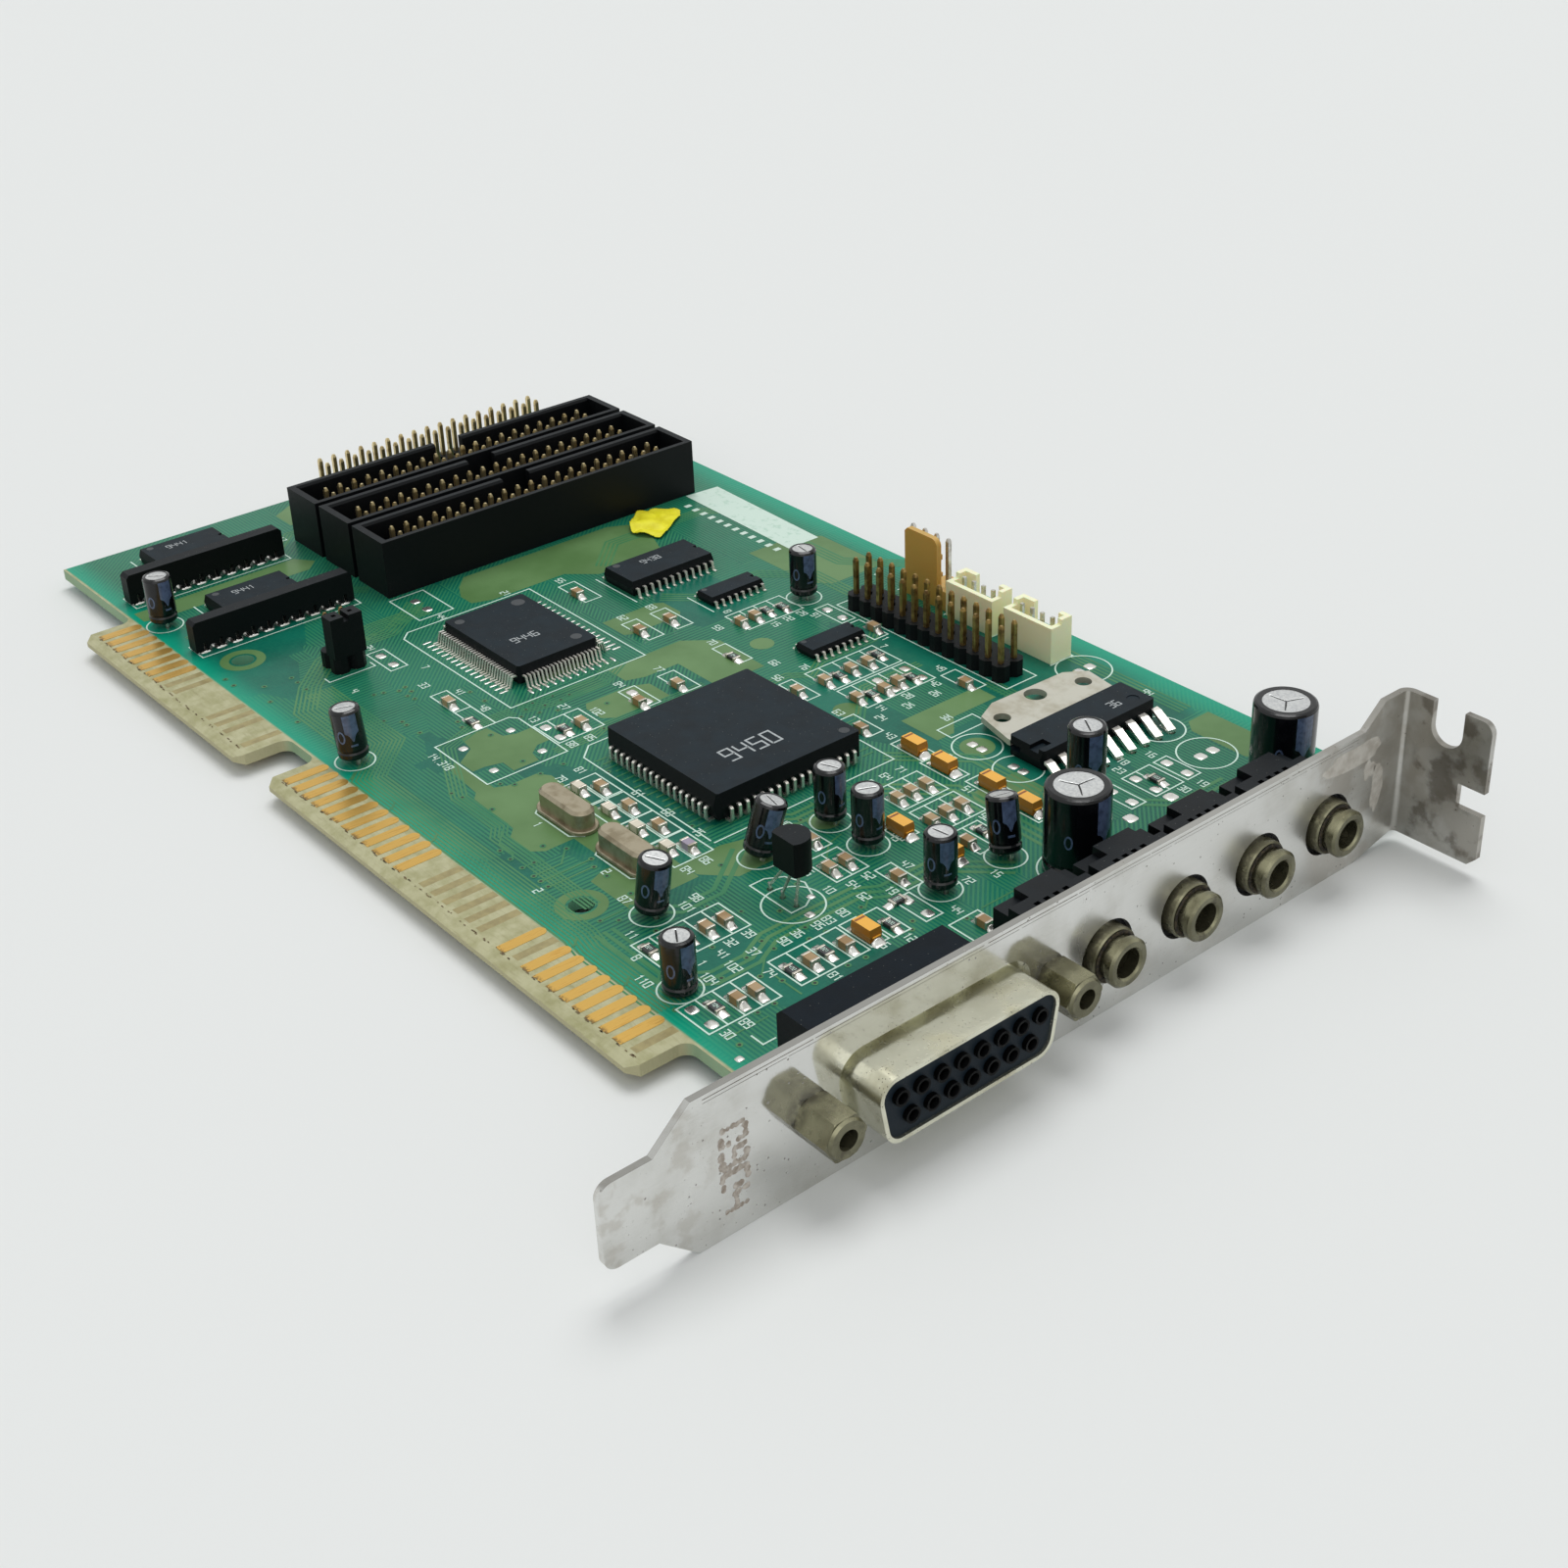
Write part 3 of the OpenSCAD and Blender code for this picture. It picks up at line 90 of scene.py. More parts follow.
def hue(r, g, b):
    """Screen values 0 to 255 as the linear colour of a shader."""
    part = [c / 255 for c in (r, g, b)]
    return tuple(c / 12.92 if c < 0.04 else ((c + 0.055) / 1.055) ** 2.4 for c in part) + (1.0,)


class Wire:
    """A socket of a shader tree; sums on it add the nodes that work them out."""

    def __init__(self, tree, socket=None):
        self.tree = tree
        self.socket = socket

    def node(self, kind, settings, inputs, out=0):
        """Adds a node of any kind; settings go first, then values or links."""
        made = self.tree.nodes.new(kind)
        for key, value in settings.items():
            setattr(made, key, value)
        for key, value in inputs.items():
            if isinstance(value, Wire):
                self.tree.links.new(value.socket, made.inputs[key])
            else:
                made.inputs[key].default_value = value
        return Wire(self.tree, made.outputs[out])

    def sum(self, op, a, b):
        return self.node("ShaderNodeMath", {"operation": op}, {0: a, 1: b})

    def __add__(self, other):
        if isinstance(other, Vector):
            return self.node("ShaderNodeVectorMath", {"operation": "ADD"}, {0: self, 1: other})
        return self.sum("ADD", self, other)

    def __radd__(self, other):
        return self + other

    def __sub__(self, other):
        return self.sum("SUBTRACT", self, other)

    def __rsub__(self, other):
        return self.sum("SUBTRACT", other, self)

    def __mul__(self, other):
        if self.socket.type == "VECTOR":
            by = Vector((other,) * 3) if isinstance(other, (int, float)) else other
            return self.node("ShaderNodeVectorMath", {"operation": "MULTIPLY"}, {0: self, 1: by})
        return self.sum("MULTIPLY", self, other)

    def __rmul__(self, other):
        return self * other

    def higher(self, other):
        return self.sum("MAXIMUM", self, other)

    def lower(self, other):
        return self.sum("MINIMUM", self, other)

    def zigzag(self, half):
        """Runs from 0 up to half and back, over and over."""
        return self.sum("PINGPONG", self, half)

    def ramp(self, low, high):
        """0 at low, 1 at high, smooth between and held outside."""
        return self.node("ShaderNodeMapRange", {"interpolation_type": "SMOOTHSTEP"},
                         {"Value": self, "From Min": low, "From Max": high})

    def blend(self, a, b):
        """Colour a where this is 0, colour b where it is 1."""
        return self.node("ShaderNodeMix", {"data_type": "RGBA"}, {0: self, 6: a, 7: b}, 2)


class Finish:
    """A new material: its place in card millimetres, noises, and the shader's sockets."""

    def __init__(self, name):
        self.mat = bpy.data.materials.new(name)
        self.mat.use_nodes = True
        tree = self.mat.node_tree
        self.shader = tree.nodes["Principled BSDF"]
        start = Wire(tree)
        self.p = start.node("ShaderNodeTexCoord", {}, {}, "Object") * 1000 + -SHIFT
        self.x, self.y, self.z = (start.node("ShaderNodeSeparateXYZ", {}, {0: self.p}, i)
                                  for i in range(3))
        facing = start.node("ShaderNodeNewGeometry", {}, {}, "Normal")
        self.up = start.node("ShaderNodeSeparateXYZ", {}, {0: facing}, 2)

    def grain(self, scale, detail=3, stretch=(1, 1, 1), rough=0.55):
        return self.p.node("ShaderNodeTexNoise", {},
                           {"Vector": self.p * Vector(stretch), "Scale": scale,
                            "Detail": detail, "Roughness": rough})

    def dots(self, scale, size, stretch=(1, 1, 1)):
        """Scattered round spots, 1 inside and 0 outside."""
        far = self.p.node("ShaderNodeTexVoronoi", {},
                          {"Vector": self.p * Vector(stretch), "Scale": scale})
        return 1 - far.ramp(size * 0.6, size)

    def done(self, colour, rough, metal=0.0, height=None, deep=0.02, **fixed):
        """Sets what varies, then the plain values; height is a relief deep mm high."""
        inputs = {"Base Color": colour, "Roughness": rough, "Metallic": metal}
        for key, value in inputs.items():
            if isinstance(value, Wire):
                self.mat.node_tree.links.new(value.socket, self.shader.inputs[key])
            else:
                self.shader.inputs[key].default_value = value
        for key, value in fixed.items():
            self.shader.inputs[key.replace("_", " ")].default_value = value
        if height is not None:
            relief = height.node("ShaderNodeBump", {}, {"Height": height, "Strength": 1.0,
                                                        "Distance": deep * MM})
            self.mat.node_tree.links.new(relief.socket, self.shader.inputs["Normal"])
        return self.mat


def wear(mat, *names):
    """Gives CAD nodes this material in their own slot."""
    for name in names:
        slots = nodes[name].data.materials
        if len(slots):
            for i in range(len(slots)):
                slots[i] = mat
        else:
            slots.append(mat)
    print(mat.name, "on", ", ".join(names))


# %% [markdown]
# ## Bare board and green mask
# The board is woven glass in resin, pale and a little see-through, with a green film on
# both faces that stops short of the edge contacts. A texture photo would be quick, but it
# would be blurred up close, so the film is worked out from the position in millimetres: teal
# where no copper lies below, brighter near the edges where light comes through the resin,
# and bare resin on the tabs and on the sawn sides. Fine tracks cover most of the board.
# Three sets of parallel lines stand for them, and a grid of uneven cells picks which set
# shows where, so that they change direction in blocks, as a router lays them.

# %% Board material
board = Finish("green_board")
weave = board.grain(3.2, 2, (1, 0.25, 1)) * 0.5 + board.grain(3.2, 2, (0.25, 1, 1)) * 0.5
cloud = board.grain(0.06, 3)
mask = cloud.ramp(0.3, 0.7).blend(hue(2, 84, 70), hue(8, 110, 90))
level = board.y.zigzag(0.28).ramp(0.12, 0.17)
slant = (board.x + board.y).zigzag(0.4).ramp(0.17, 0.24)
upright = board.x.zigzag(0.34).ramp(0.14, 0.2)
cell = board.p.node("ShaderNodeTexVoronoi", {"distance": "CHEBYCHEV"},
                    {"Vector": board.p * Vector((0.55, 1.1, 0)), "Scale": 0.085}, 1)
pick = board.p.node("ShaderNodeSeparateColor", {}, {0: cell})
lines = level * (1 - pick.ramp(0.38, 0.381))
lines = lines + slant * pick.ramp(0.4, 0.401) * (1 - pick.ramp(0.6, 0.601))
lines = (lines + upright * pick.ramp(0.62, 0.621) * (1 - pick.ramp(0.8, 0.801))).lower(1.0)
mask = (lines * 0.72).blend(mask, hue(56, 134, 92))
mask = (weave.ramp(0.35, 0.7) * 0.25).blend(mask, hue(40, 130, 100))
glow = board.y.ramp(91.5, 98.2).higher(1 - board.y.ramp(-0.4, 4.5))
glow = glow.higher(board.x.ramp(-20, -9) * (1 - board.y.ramp(2, 12)))
mask = (glow * 0.85).blend(mask, hue(2, 160, 128))
resin = board.grain(0.5, 4).ramp(0.3, 0.75).blend(hue(186, 184, 148), hue(160, 158, 116))
streak = board.grain(2.6, 3, (0.12, 1, 1)).ramp(0.5, 0.8)
resin = (streak * 0.3).blend(resin, hue(120, 108, 76))
tabs = 1 - board.y.ramp(-0.25, 0.15)
flat = (board.up * board.up).ramp(0.4, 0.7)
side = board.y.ramp(-1.5, 0.5).blend(hue(190, 184, 148), hue(96, 176, 146))
side = (board.grain(4, 4, (1, 1, 0.3)) * 0.5).blend(side, hue(150, 150, 112))
colour = flat.blend(side, tabs.blend(mask, resin))
board_mat = board.done(colour, 0.62 - flat * 0.3 + tabs * 0.12,
                       height=weave + lines * 0.8 + board.grain(0.9, 2) * 1.5, deep=0.014,
                       Coat_Weight=0.06, Coat_Roughness=0.12, Specular_IOR_Level=0.2)
wear(board_mat, "circuit_board")
print("board finish nodes:", len(board_mat.node_tree.nodes))

# %% [markdown]
# ## Metals
# A bracket of thin stainless sheet goes dull in patches and collects small dark pits. Its
# folded wing and its upper edge are painted darker, as painted shade.
# Plated parts go brown in patches; near the bracket they are darker from grime and painted
# shade, and their lower facets carry painted shade. Each metal is one Principled shader with
# Metallic near 1, where grime lowers Metallic and raises Roughness, as real dirt does.

# %% Bracket steel
steel = Finish("stained_steel")
stain = steel.grain(0.11, 5).ramp(0.46, 0.72)
pits = steel.dots(0.9, 0.13) * steel.grain(0.25, 2).ramp(0.42, 0.6)
specks = steel.dots(2.3, 0.12) * steel.grain(0.4, 2).ramp(0.45, 0.7)
hair = steel.grain(4.0, 3, (1, 0.06, 1)).ramp(0.4, 0.7)
rub = steel.y.ramp(72, 76) * steel.grain(0.16, 4).ramp(0.44, 0.56)
heel = (1 - steel.y.ramp(-22, -8)) * steel.grain(0.35, 5).ramp(0.5, 0.64)
skin = stain.blend(hue(221, 221, 218), hue(204, 203, 198))
skin = (hair * 0.22).blend(skin, hue(230, 229, 227))
skin = (rub * 0.45).blend(skin, hue(176, 168, 156))
skin = (heel * 0.3).blend(skin, hue(160, 148, 132))
# Painted shade: the folded wing is made darker.
wing_shade = steel.y.ramp(82, 90)
skin = (wing_shade * 0.5).blend(skin, hue(136, 132, 122))
blot = steel.x.ramp(1.2, 2.6) * steel.grain(0.22, 4).ramp(0.46, 0.58)
skin = (blot * 0.65).blend(skin, hue(98, 90, 78))
# Painted shade: faces that look up, such as the sheet's upper edge, are made darker.
edge = steel.up.ramp(0.6, 0.9)
skin = (edge * 0.6).blend(skin, hue(112, 108, 100))
dirt = (pits.higher(specks) * 0.7).lower(1.0)
scuffed = steel.y.ramp(32, 37)
wear(steel.done(dirt.blend(skin, hue(70, 60, 48)),
                0.09 + stain * 0.1 + dirt * 0.4 + scuffed * 0.2, 0.9 - dirt * 0.7,
                steel.grain(0.2, 3) - pits, 0.012), "bracket")

# %% Yellowed tin of the socket's shell
shell = Finish("yellowed_tin")
spots = shell.dots(2.4, 0.2) * shell.grain(0.5, 3).ramp(0.38, 0.55)
tarnish = shell.grain(0.22, 4).ramp(0.4, 0.75)
tint = tarnish.blend(hue(222, 221, 202), hue(180, 176, 150))
wear(shell.done((spots * 0.75).blend(tint, hue(58, 48, 30)), 0.2 + tarnish * 0.2,
                0.92 - spots * 0.5, shell.grain(0.5, 3) - spots, 0.03),
     "socket_shell", "socket_feet")

# %% Grimy nickel of the standoffs and the jacks, with painted shade
nickel = Finish("grimy_nickel_painted_shade")
grime_and_base_shade = nickel.grain(0.75, 5).ramp(0.54, 0.72) * 0.6
# Grime and painted shade: darker in patches within 1.7 mm of the bracket, where parts meet it.
near = (1 - nickel.x.ramp(0.2, 1.7)) * 0.75
grime_and_base_shade = grime_and_base_shade.higher(near * nickel.grain(1.2, 4).ramp(0.35, 0.6))
tint = nickel.grain(0.35, 3).ramp(0.3, 0.7).blend(hue(152, 149, 122), hue(116, 113, 90))
# Painted shade: facets that look sideways or down are made darker.
tint = ((1 - nickel.up.ramp(0.0, 0.7)) * 0.45).blend(tint, hue(56, 56, 44))
wear(nickel.done(grime_and_base_shade.blend(tint, hue(62, 57, 42)), 0.26 + grime_and_base_shade * 0.34, 0.85 - grime_and_base_shade * 0.5,
                 nickel.grain(2.5, 3), 0.02),
     "jackscrew_low", "jackscrew_high", *[f"jack_sleeve_{k}" for k in (1, 2, 3, 4)])

# %% Plated leads, pins and contacts


def plated(name, light, dark, rough):
    """A thin bright plating with soft uneven patches and fine scratches."""
    made = Finish(name)
    patch = made.grain(0.8, 4).ramp(0.4, 0.72)
    fine = made.grain(6, 2, (1, 0.2, 1))
    return made.done(patch.blend(light, dark), rough + patch * 0.14, 0.9, fine, 0.006)


wear(plated("tinned_lead", hue(214, 212, 206), hue(168, 164, 154), 0.26), "resistor_pack_pins",
     "can_leads", "jack_contacts", "wafer_pins", "latch_header_pins")
wear(plated("bright_lead", hue(244, 241, 234), hue(212, 207, 196), 0.34), "square_chip_leads",
     "flat_chip_leads", "small_chip_leads", "amplifier_leads")
wear(plated("pale_gold_pin", hue(226, 208, 158), hue(172, 148, 98), 0.3), "box_header_pins",
     "rear_header_pins")
wear(plated("dark_gold_pin", hue(168, 140, 84), hue(104, 82, 48), 0.32), "side_header_pins",
     "jumper_pins")
# Painted shade: the socket's contacts sit deep in the connector, so they are made near black.
wear(plated("socket_contact_painted_shade", hue(15, 16, 17), hue(9, 10, 11), 0.5), "socket_contacts")

# %% Edge contacts, heat tab and crystal cans
gold = Finish("worn_gold")
rubbed = gold.grain(1.2, 4, (2.5, 0.3, 1)).ramp(0.52, 0.75)
tip = (1 - gold.y.ramp(-6.3, -5.6)) * gold.grain(3, 3).ramp(0.4, 0.55)
tint = rubbed.blend(hue(214, 172, 88), hue(186, 142, 66))
wear(gold.done((tip * 0.8).blend(tint, hue(88, 66, 34)), 0.3 + rubbed * 0.16, 0.8 - tip * 0.4,
               gold.grain(5, 2, (1, 0.15, 1)), 0.006), "edge_contacts")

fin = Finish("dull_fin")
patch = fin.grain(0.3, 4).ramp(0.4, 0.7)
wear(fin.done(patch.blend(hue(192, 190, 178), hue(168, 163, 146)), 0.46 + patch * 0.1, 0.45,
              fin.grain(3, 3), 0.015), "heat_tab")

crystal = Finish("crystal_can")
patch = crystal.grain(0.5, 4).ramp(0.4, 0.7)
wear(crystal.done(patch.blend(hue(166, 156, 134), hue(132, 122, 100)), 0.36 + patch * 0.16, 0.8,
                  crystal.grain(4, 3), 0.012), "crystal_far", "crystal_near")

# %% [markdown]
# ## Plastics
# Moulded plastic is never one flat black: its upper faces hold grey dust and are painted
# lighter, as lit from above, and a chip's epoxy has a fine matt grain. The dust and the
# painted light lie on the part of each surface that looks up, found from the normal's Z, so
# that side walls stay dark.

# %% Black, slate, cream and tan plastics


def moulded(name, deep, dusty_and_lit, rough, dust_and_light=0.6, grain=5.0, relief=0.02, **fixed):
    """Plastic of colour deep whose upward faces are dusted and painted lighter, as lit from above.
    """
    made = Finish(name)
    # Dust and painted light: faces that look up are made lighter, in uneven patches.
    dust_and_top_light = made.up.ramp(0.5, 0.95) * (made.grain(0.3, 4).ramp(0.25, 0.75) * 0.5 + 0.5) * dust_and_light
    fleck = made.dots(1.4, 0.09) * made.up.ramp(0.5, 0.9)
    body = dust_and_top_light.blend(deep, dusty_and_lit)
    return made.done((fleck * 0.35).blend(body, hue(150, 150, 142)),
                     rough + made.grain(0.7, 2) * 0.1, 0.0, made.grain(grain, 3), relief, **fixed)


wear(moulded("black_plastic", hue(7, 9, 12), hue(17, 25, 31), 0.46, Specular_IOR_Level=0.17),
     *[f"jack_body_{k}" for k in (1, 2, 3, 4)], "rear_header", "side_header",
     "jumper_block", "jumper_cap", "resistor_pack_near", "resistor_pack_far",
     "transistor", "box_header_near", "box_header_middle", "box_header_far")
wear(moulded("slate_cover", hue(6, 11, 16), hue(8, 21, 31), 0.5, 0.9,
             Specular_IOR_Level=0.1), "socket_cover")
wear(moulded("slate_insert", hue(17, 29, 38), hue(26, 40, 50), 0.5, 0.5,
             Specular_IOR_Level=0.2), "socket_insert")
wear(moulded("chip_epoxy", hue(7, 10, 14), hue(15, 31, 40), 0.5, 0.95, 7.0, 0.012,
             Specular_IOR_Level=0.17),
     "square_chip", "flat_chip", "long_chip", "narrow_chip_far", "narrow_chip_near",
     "rear_chip_near", "rear_chip_far", "amplifier")
wear(moulded("tan_latch", hue(196, 156, 74), hue(214, 178, 100), 0.36, 0.4,
             Subsurface_Weight=0.2, Subsurface_Scale=0.002), "latch_header")
wear(moulded("cream_wafer", hue(250, 248, 206), hue(252, 250, 220), 0.4, 0.3,
             Subsurface_Weight=0.25, Subsurface_Scale=0.002), "wafer_near_body", "wafer_far_body")

# %% Shrunk sleeves and amber epoxy
sleeve = Finish("can_sleeve")
scuff = sleeve.grain(0.8, 4, (1, 1, 0.3)).ramp(0.6, 0.8)
wear(sleeve.done((scuff * 0.25).blend(hue(7, 8, 12), hue(40, 44, 54)), 0.2 + scuff * 0.25, 0.0,
                 sleeve.grain(1.2, 2), 0.02, Coat_Weight=0.2, Coat_Roughness=0.08,
                 Specular_IOR_Level=0.35),
     "small_cans", "large_cans")
amber = Finish("amber_epoxy")
# Painted light: faces that look up are a brighter orange.
light = amber.up.ramp(0.3, 0.9)
wear(amber.done((light * 0.9).blend(hue(176, 112, 24), hue(250, 186, 62)), 0.38, 0.0,
                amber.grain(3, 3), 0.02, Coat_Weight=0.2), "tantalum_capacitors")
print("finishes so far:", len(bpy.data.materials))

# %% [markdown]
# ## Reading the CAD pieces back
# Solder and printed tops have to sit exactly on the CAD's parts. Their places could be
# typed in again, but then they would drift apart when the part changes. A CAD node that
# holds many pieces is split here into its separate shells, and each gives its own box.

# %% Separate shells of one CAD node


def shells(name):
    """Lists each loose shell of a CAD node as its points in card millimetres."""
    mesh = nodes[name].data
    points = np.empty(len(mesh.vertices) * 3, np.float32)
    mesh.vertices.foreach_get("co", points)
    points = points.reshape(-1, 3).astype(float) / MM - np.array(SHIFT)
    keys = {}
    same = [keys.setdefault(tuple(np.round(p, 3)), i) for i, p in enumerate(points)]
    parent = list(range(len(points)))

    def root(i):
        while parent[i] != i:
            parent[i] = parent[parent[i]]
            i = parent[i]
        return i

    for edge in mesh.edges:
        a, b = root(same[edge.vertices[0]]), root(same[edge.vertices[1]])
        parent[max(a, b)] = min(a, b)
    groups = {}
    for i in range(len(points)):
        groups.setdefault(root(same[i]), []).append(points[i])
    found = [np.unique(np.round(g, 3), axis=0) for _, g in sorted(groups.items())]
    return sorted(found, key=lambda g: (round(g[:, 0].mean(), 2), round(g[:, 1].mean(), 2)))


def boxes(name):
    """Lowest and highest corner of each shell."""
    return [(points.min(0), points.max(0)) for points in shells(name)]


def centre(points):
    """X and Y of the middle between the outermost points."""
    return (points.min(0) + points.max(0))[:2] / 2


chips, resistors, amber_chips = (boxes(name) for name in (
    "chip_capacitors", "chip_resistors", "tantalum_capacitors"))
print("chip parts:", len(chips), "resistors:", len(resistors), "amber:", len(amber_chips))

# %% [markdown]
# ## Building one piece
# Every added piece is a mesh made corner by corner with bmesh and then fixed to the card's
# body. Thin printed shapes are flat plates a few hundredths of a millimetre above the
# board, each layer a little higher than the last, as the real films are stacked. Two faces
# at one height would show as black blots, so plates that cross within a layer also differ
# by half a thousandth of a millimetre or so.

# %% Layers, piece, plate and stroke
POUR, TRACK, BLOCK, VIA, INK, NUMBER = (FACE + lift for lift in (
    0.005, 0.015, 0.028, 0.036, 0.04, 0.05))


def piece(name, mat, fill, smooth=False):
    """Makes a mesh with fill(bm), gives it mat and fixes it to the card."""
    bm = bmesh.new()
    fill(bm)
    if smooth:
        bmesh.ops.recalc_face_normals(bm, faces=bm.faces)
    mesh = bpy.data.meshes.new(name)
    bm.to_mesh(mesh)
    bm.free()
    if smooth:
        mesh.polygons.foreach_set("use_smooth", [True] * len(mesh.polygons))
    mesh.materials.append(mat)
    obj = bpy.data.objects.new(name, mesh)
    bpy.context.scene.collection.objects.link(obj)
    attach(obj, "root")
    print(name, "faces", len(mesh.polygons))
    return obj


def corners(left, low, right, high):
    return [(left, low), (right, low), (right, high), (left, high)]


def plate(bm, points, z):
    """One flat face looking up, or down where z is below the board."""
    area = sum(a[0] * b[1] - b[0] * a[1] for a, b in zip(points, points[1:] + points[:1]))
    if (area < 0) != (z < UNDER + 0.1):
        points = points[::-1]
    return bm.faces.new([bm.verts.new(at(x, y, z)) for x, y in points])


def stroke(bm, path, width, z, closed=False):
    """A line of even width through the points, mitred at its corners."""
    n = len(path)
    edge = []
    for i in range(n):
        before = path[i - 1] if i or closed else None
        after = path[(i + 1) % n] if i < n - 1 or closed else None
        here = Vector(path[i])
        steps = [(here - Vector(before)).normalized()] if before is not None else []
        steps += [(Vector(after) - here).normalized()] if after is not None else []
        way = (steps[0] + steps[-1]).normalized() if len(steps) == 2 else steps[0]
        if way.length < 0.1:
            way = steps[0]
        across = Vector((-way.y, way.x))
        reach = width / 2 / max(0.5, abs(way.dot(steps[0])))
        edge.append((here + across * reach, here - across * reach))
    for i in range(n if closed else n - 1):
        (a, b), (c, d) = edge[i], edge[(i + 1) % n]
        plate(bm, [tuple(b), tuple(d), tuple(c), tuple(a)], z)


def circle(x, y, r, n=28):
    turns = [2 * math.pi * i / n for i in range(n)]
    return [(x + r * math.cos(w), y + r * math.sin(w)) for w in turns]


def join_rows(bm, rows, closed=True):
    """Four-sided faces between each row of corners and the next one."""
    for here, there in zip(rows, rows[1:]):
        n = len(here)
        for i in range(n if closed else n - 1):
            j = (i + 1) % n
            bm.faces.new((here[i], here[j], there[j], there[i]))


print("layers above the board, mm:", [round(z - FACE, 3) for z in (POUR, TRACK, VIA, INK)])

# %% [markdown]
# ## Copper pours and tracks under the mask
# Copper shows through the mask as olive-green shapes: wide pours that carry ground, and
# bundles of fine tracks. They could be painted in the board's shader, but shapes with true
# corners are simpler as thin meshes. Tracks of one bundle run side by side, so a single
# path is written down and its neighbours are set off to the side by the track spacing.

# %% Copper finishes
pour = Finish("masked_copper")
speck = pour.dots(1.1, 0.07)
tint = pour.grain(0.09, 3).ramp(0.3, 0.7).blend(hue(86, 122, 72), hue(102, 138, 88))
pour_mat = pour.done((speck * 0.4).blend(tint, hue(60, 110, 70)), 0.34, 0.0,
                     pour.grain(0.9, 2), 0.012, Coat_Weight=0.06, Specular_IOR_Level=0.2)


def two_tone(name, patches, ends, light, dark, rough, metal=0.0, relief=(4, 2), deep=0.01,
             part=1.0, **fixed):
    """A finish of two colours in noise patches over a fine relief; patches and relief hold
    a noise's scale and detail, ends where the patches begin and end."""
    made = Finish(name)
    mask = made.grain(*patches).ramp(*ends)
    if part < 1:
        mask = mask * part
    return made.done(mask.blend(light, dark), rough, metal, made.grain(*relief), deep, **fixed)


track_mat = two_tone("masked_track", (0.12, 3), (0.3, 0.7), hue(52, 124, 84), hue(84, 136, 88),
                     0.34, relief=(0.9, 2), deep=0.012, Coat_Weight=0.06,
                     Specular_IOR_Level=0.2)
print("copper finishes:", pour_mat.name, track_mat.name)

# %% Pours
POURS = [
    [(-92.3, 13), (-90.6, 11.2), (-83.5, 10.6), (-82.3, 9.6), (-73, 9.4), (-71.5, 8), (-67, 8),
     (-65.8, 9.4), (-65.8, 13.6), (-57.4, 13.6), (-57.5, 12), (-56.5, 9.6), (-48.5, 9.6),
     (-48.5, 19.8), (-80.5, 20.2), (-82.2, 19), (-82.2, 14.6), (-83, 13)],
    [(-92.9, 25.3), (-88.4, 25.3), (-88.4, 23.3), (-87, 21.6), (-84.9, 21.2), (-84.9, 17.3),
     (-87.6, 17.4), (-88.3, 15), (-88.3, 13.2), (-91.4, 13.2), (-93.6, 16.2), (-96.9, 16.8),
     (-96.9, 20.8), (-93.6, 21.3), (-92.9, 23)],
    [(-52.2, 19.9), (-49, 19.9), (-45.2, 23.4), (-45.2, 30), (-51, 30), (-52.2, 26)],
    [(-93.3, 34.6), (-92, 33.8), (-88.5, 33.8), (-87.2, 35.4), (-87.2, 44.5), (-92, 44.5),
     (-93.3, 42)],
    [(-99.5, 42.5), (-95, 42.5), (-94, 45.2), (-94, 51), (-86, 51), (-85, 53), (-85, 59.5),
     (-95.6, 59.8), (-97, 58.4), (-99.5, 55.5)],
    [(-112, 50.6), (-106.6, 50.6), (-106, 51.6), (-106, 60.4), (-107, 61.2), (-111.2, 61.2),
     (-112, 60)],
    [(-134, 40), (-131, 40), (-129.8, 43), (-129.8, 56), (-126, 60), (-126, 72), (-131, 74),
     (-138, 74), (-139.6, 71), (-139.6, 44), (-137, 41.6)],
    [(-116, 81.5), (-101.5, 81.5), (-98.6, 84), (-98.6, 94), (-113, 94), (-116, 91)],
    [(-60, 63), (-52.8, 63), (-52.8, 66), (-56, 69), (-56, 77), (-60, 77)],
    [(-31.5, 89.4), (-22.4, 89.4), (-20.6, 91), (-20.6, 95), (-33.5, 95), (-33.5, 91)],
    [(-181, 34), (-176, 34), (-174, 37), (-174, 91), (-183.5, 91), (-183.5, 38)],
    [(-163, 0.9), (-159.6, 0.9), (-158.8, 3.4), (-158.8, 28), (-161, 30.2), (-164, 28)],
    [(-124.4, 34), (-103, 34), (-103, 41), (-124.4, 41)],
    [(-40, 64.8), (-34.8, 64.8), (-33.4, 62.4), (-33.4, 57), (-38, 55.8), (-40, 57)],
]
ROUND_POURS = [(-67.3, 59.7, 2.0), (-47.9, 39, 2.1), (-90.6, 63.6, 1.8), (-48, 65.7, 2.4)]
# Each tooling hole above the contacts has a ring of copper round it.
TOOLING = (-53.1, -138.0)


def pours(bm):
    for i, points in enumerate(POURS):
        plate(bm, points, POUR + i * 0.0005)
    for x in TOOLING:
        stroke(bm, circle(x, 5.9, 2.6, 40), 1.3, POUR + 0.0085, closed=True)
    for x, y, r in ROUND_POURS:
        plate(bm, circle(x, y, r), POUR + 0.009)


piece("board_pours", pour_mat, pours)

# %% Tracks: bundles, then single ones from pad to via


def beside(path, off):
    """The same path moved sideways by off, corners kept sharp."""
    moved = []
    for i, here in enumerate(path):
        here = Vector(here)
        steps = [(here - Vector(path[i - 1])).normalized()] if i else []
        steps += [(Vector(path[i + 1]) - here).normalized()] if i < len(path) - 1 else []
        way = (steps[0] + steps[-1]).normalized()
        across = Vector((-way.y, way.x))
        moved.append(tuple(here + across * off / max(0.4, way.dot(steps[0]))))
    return moved


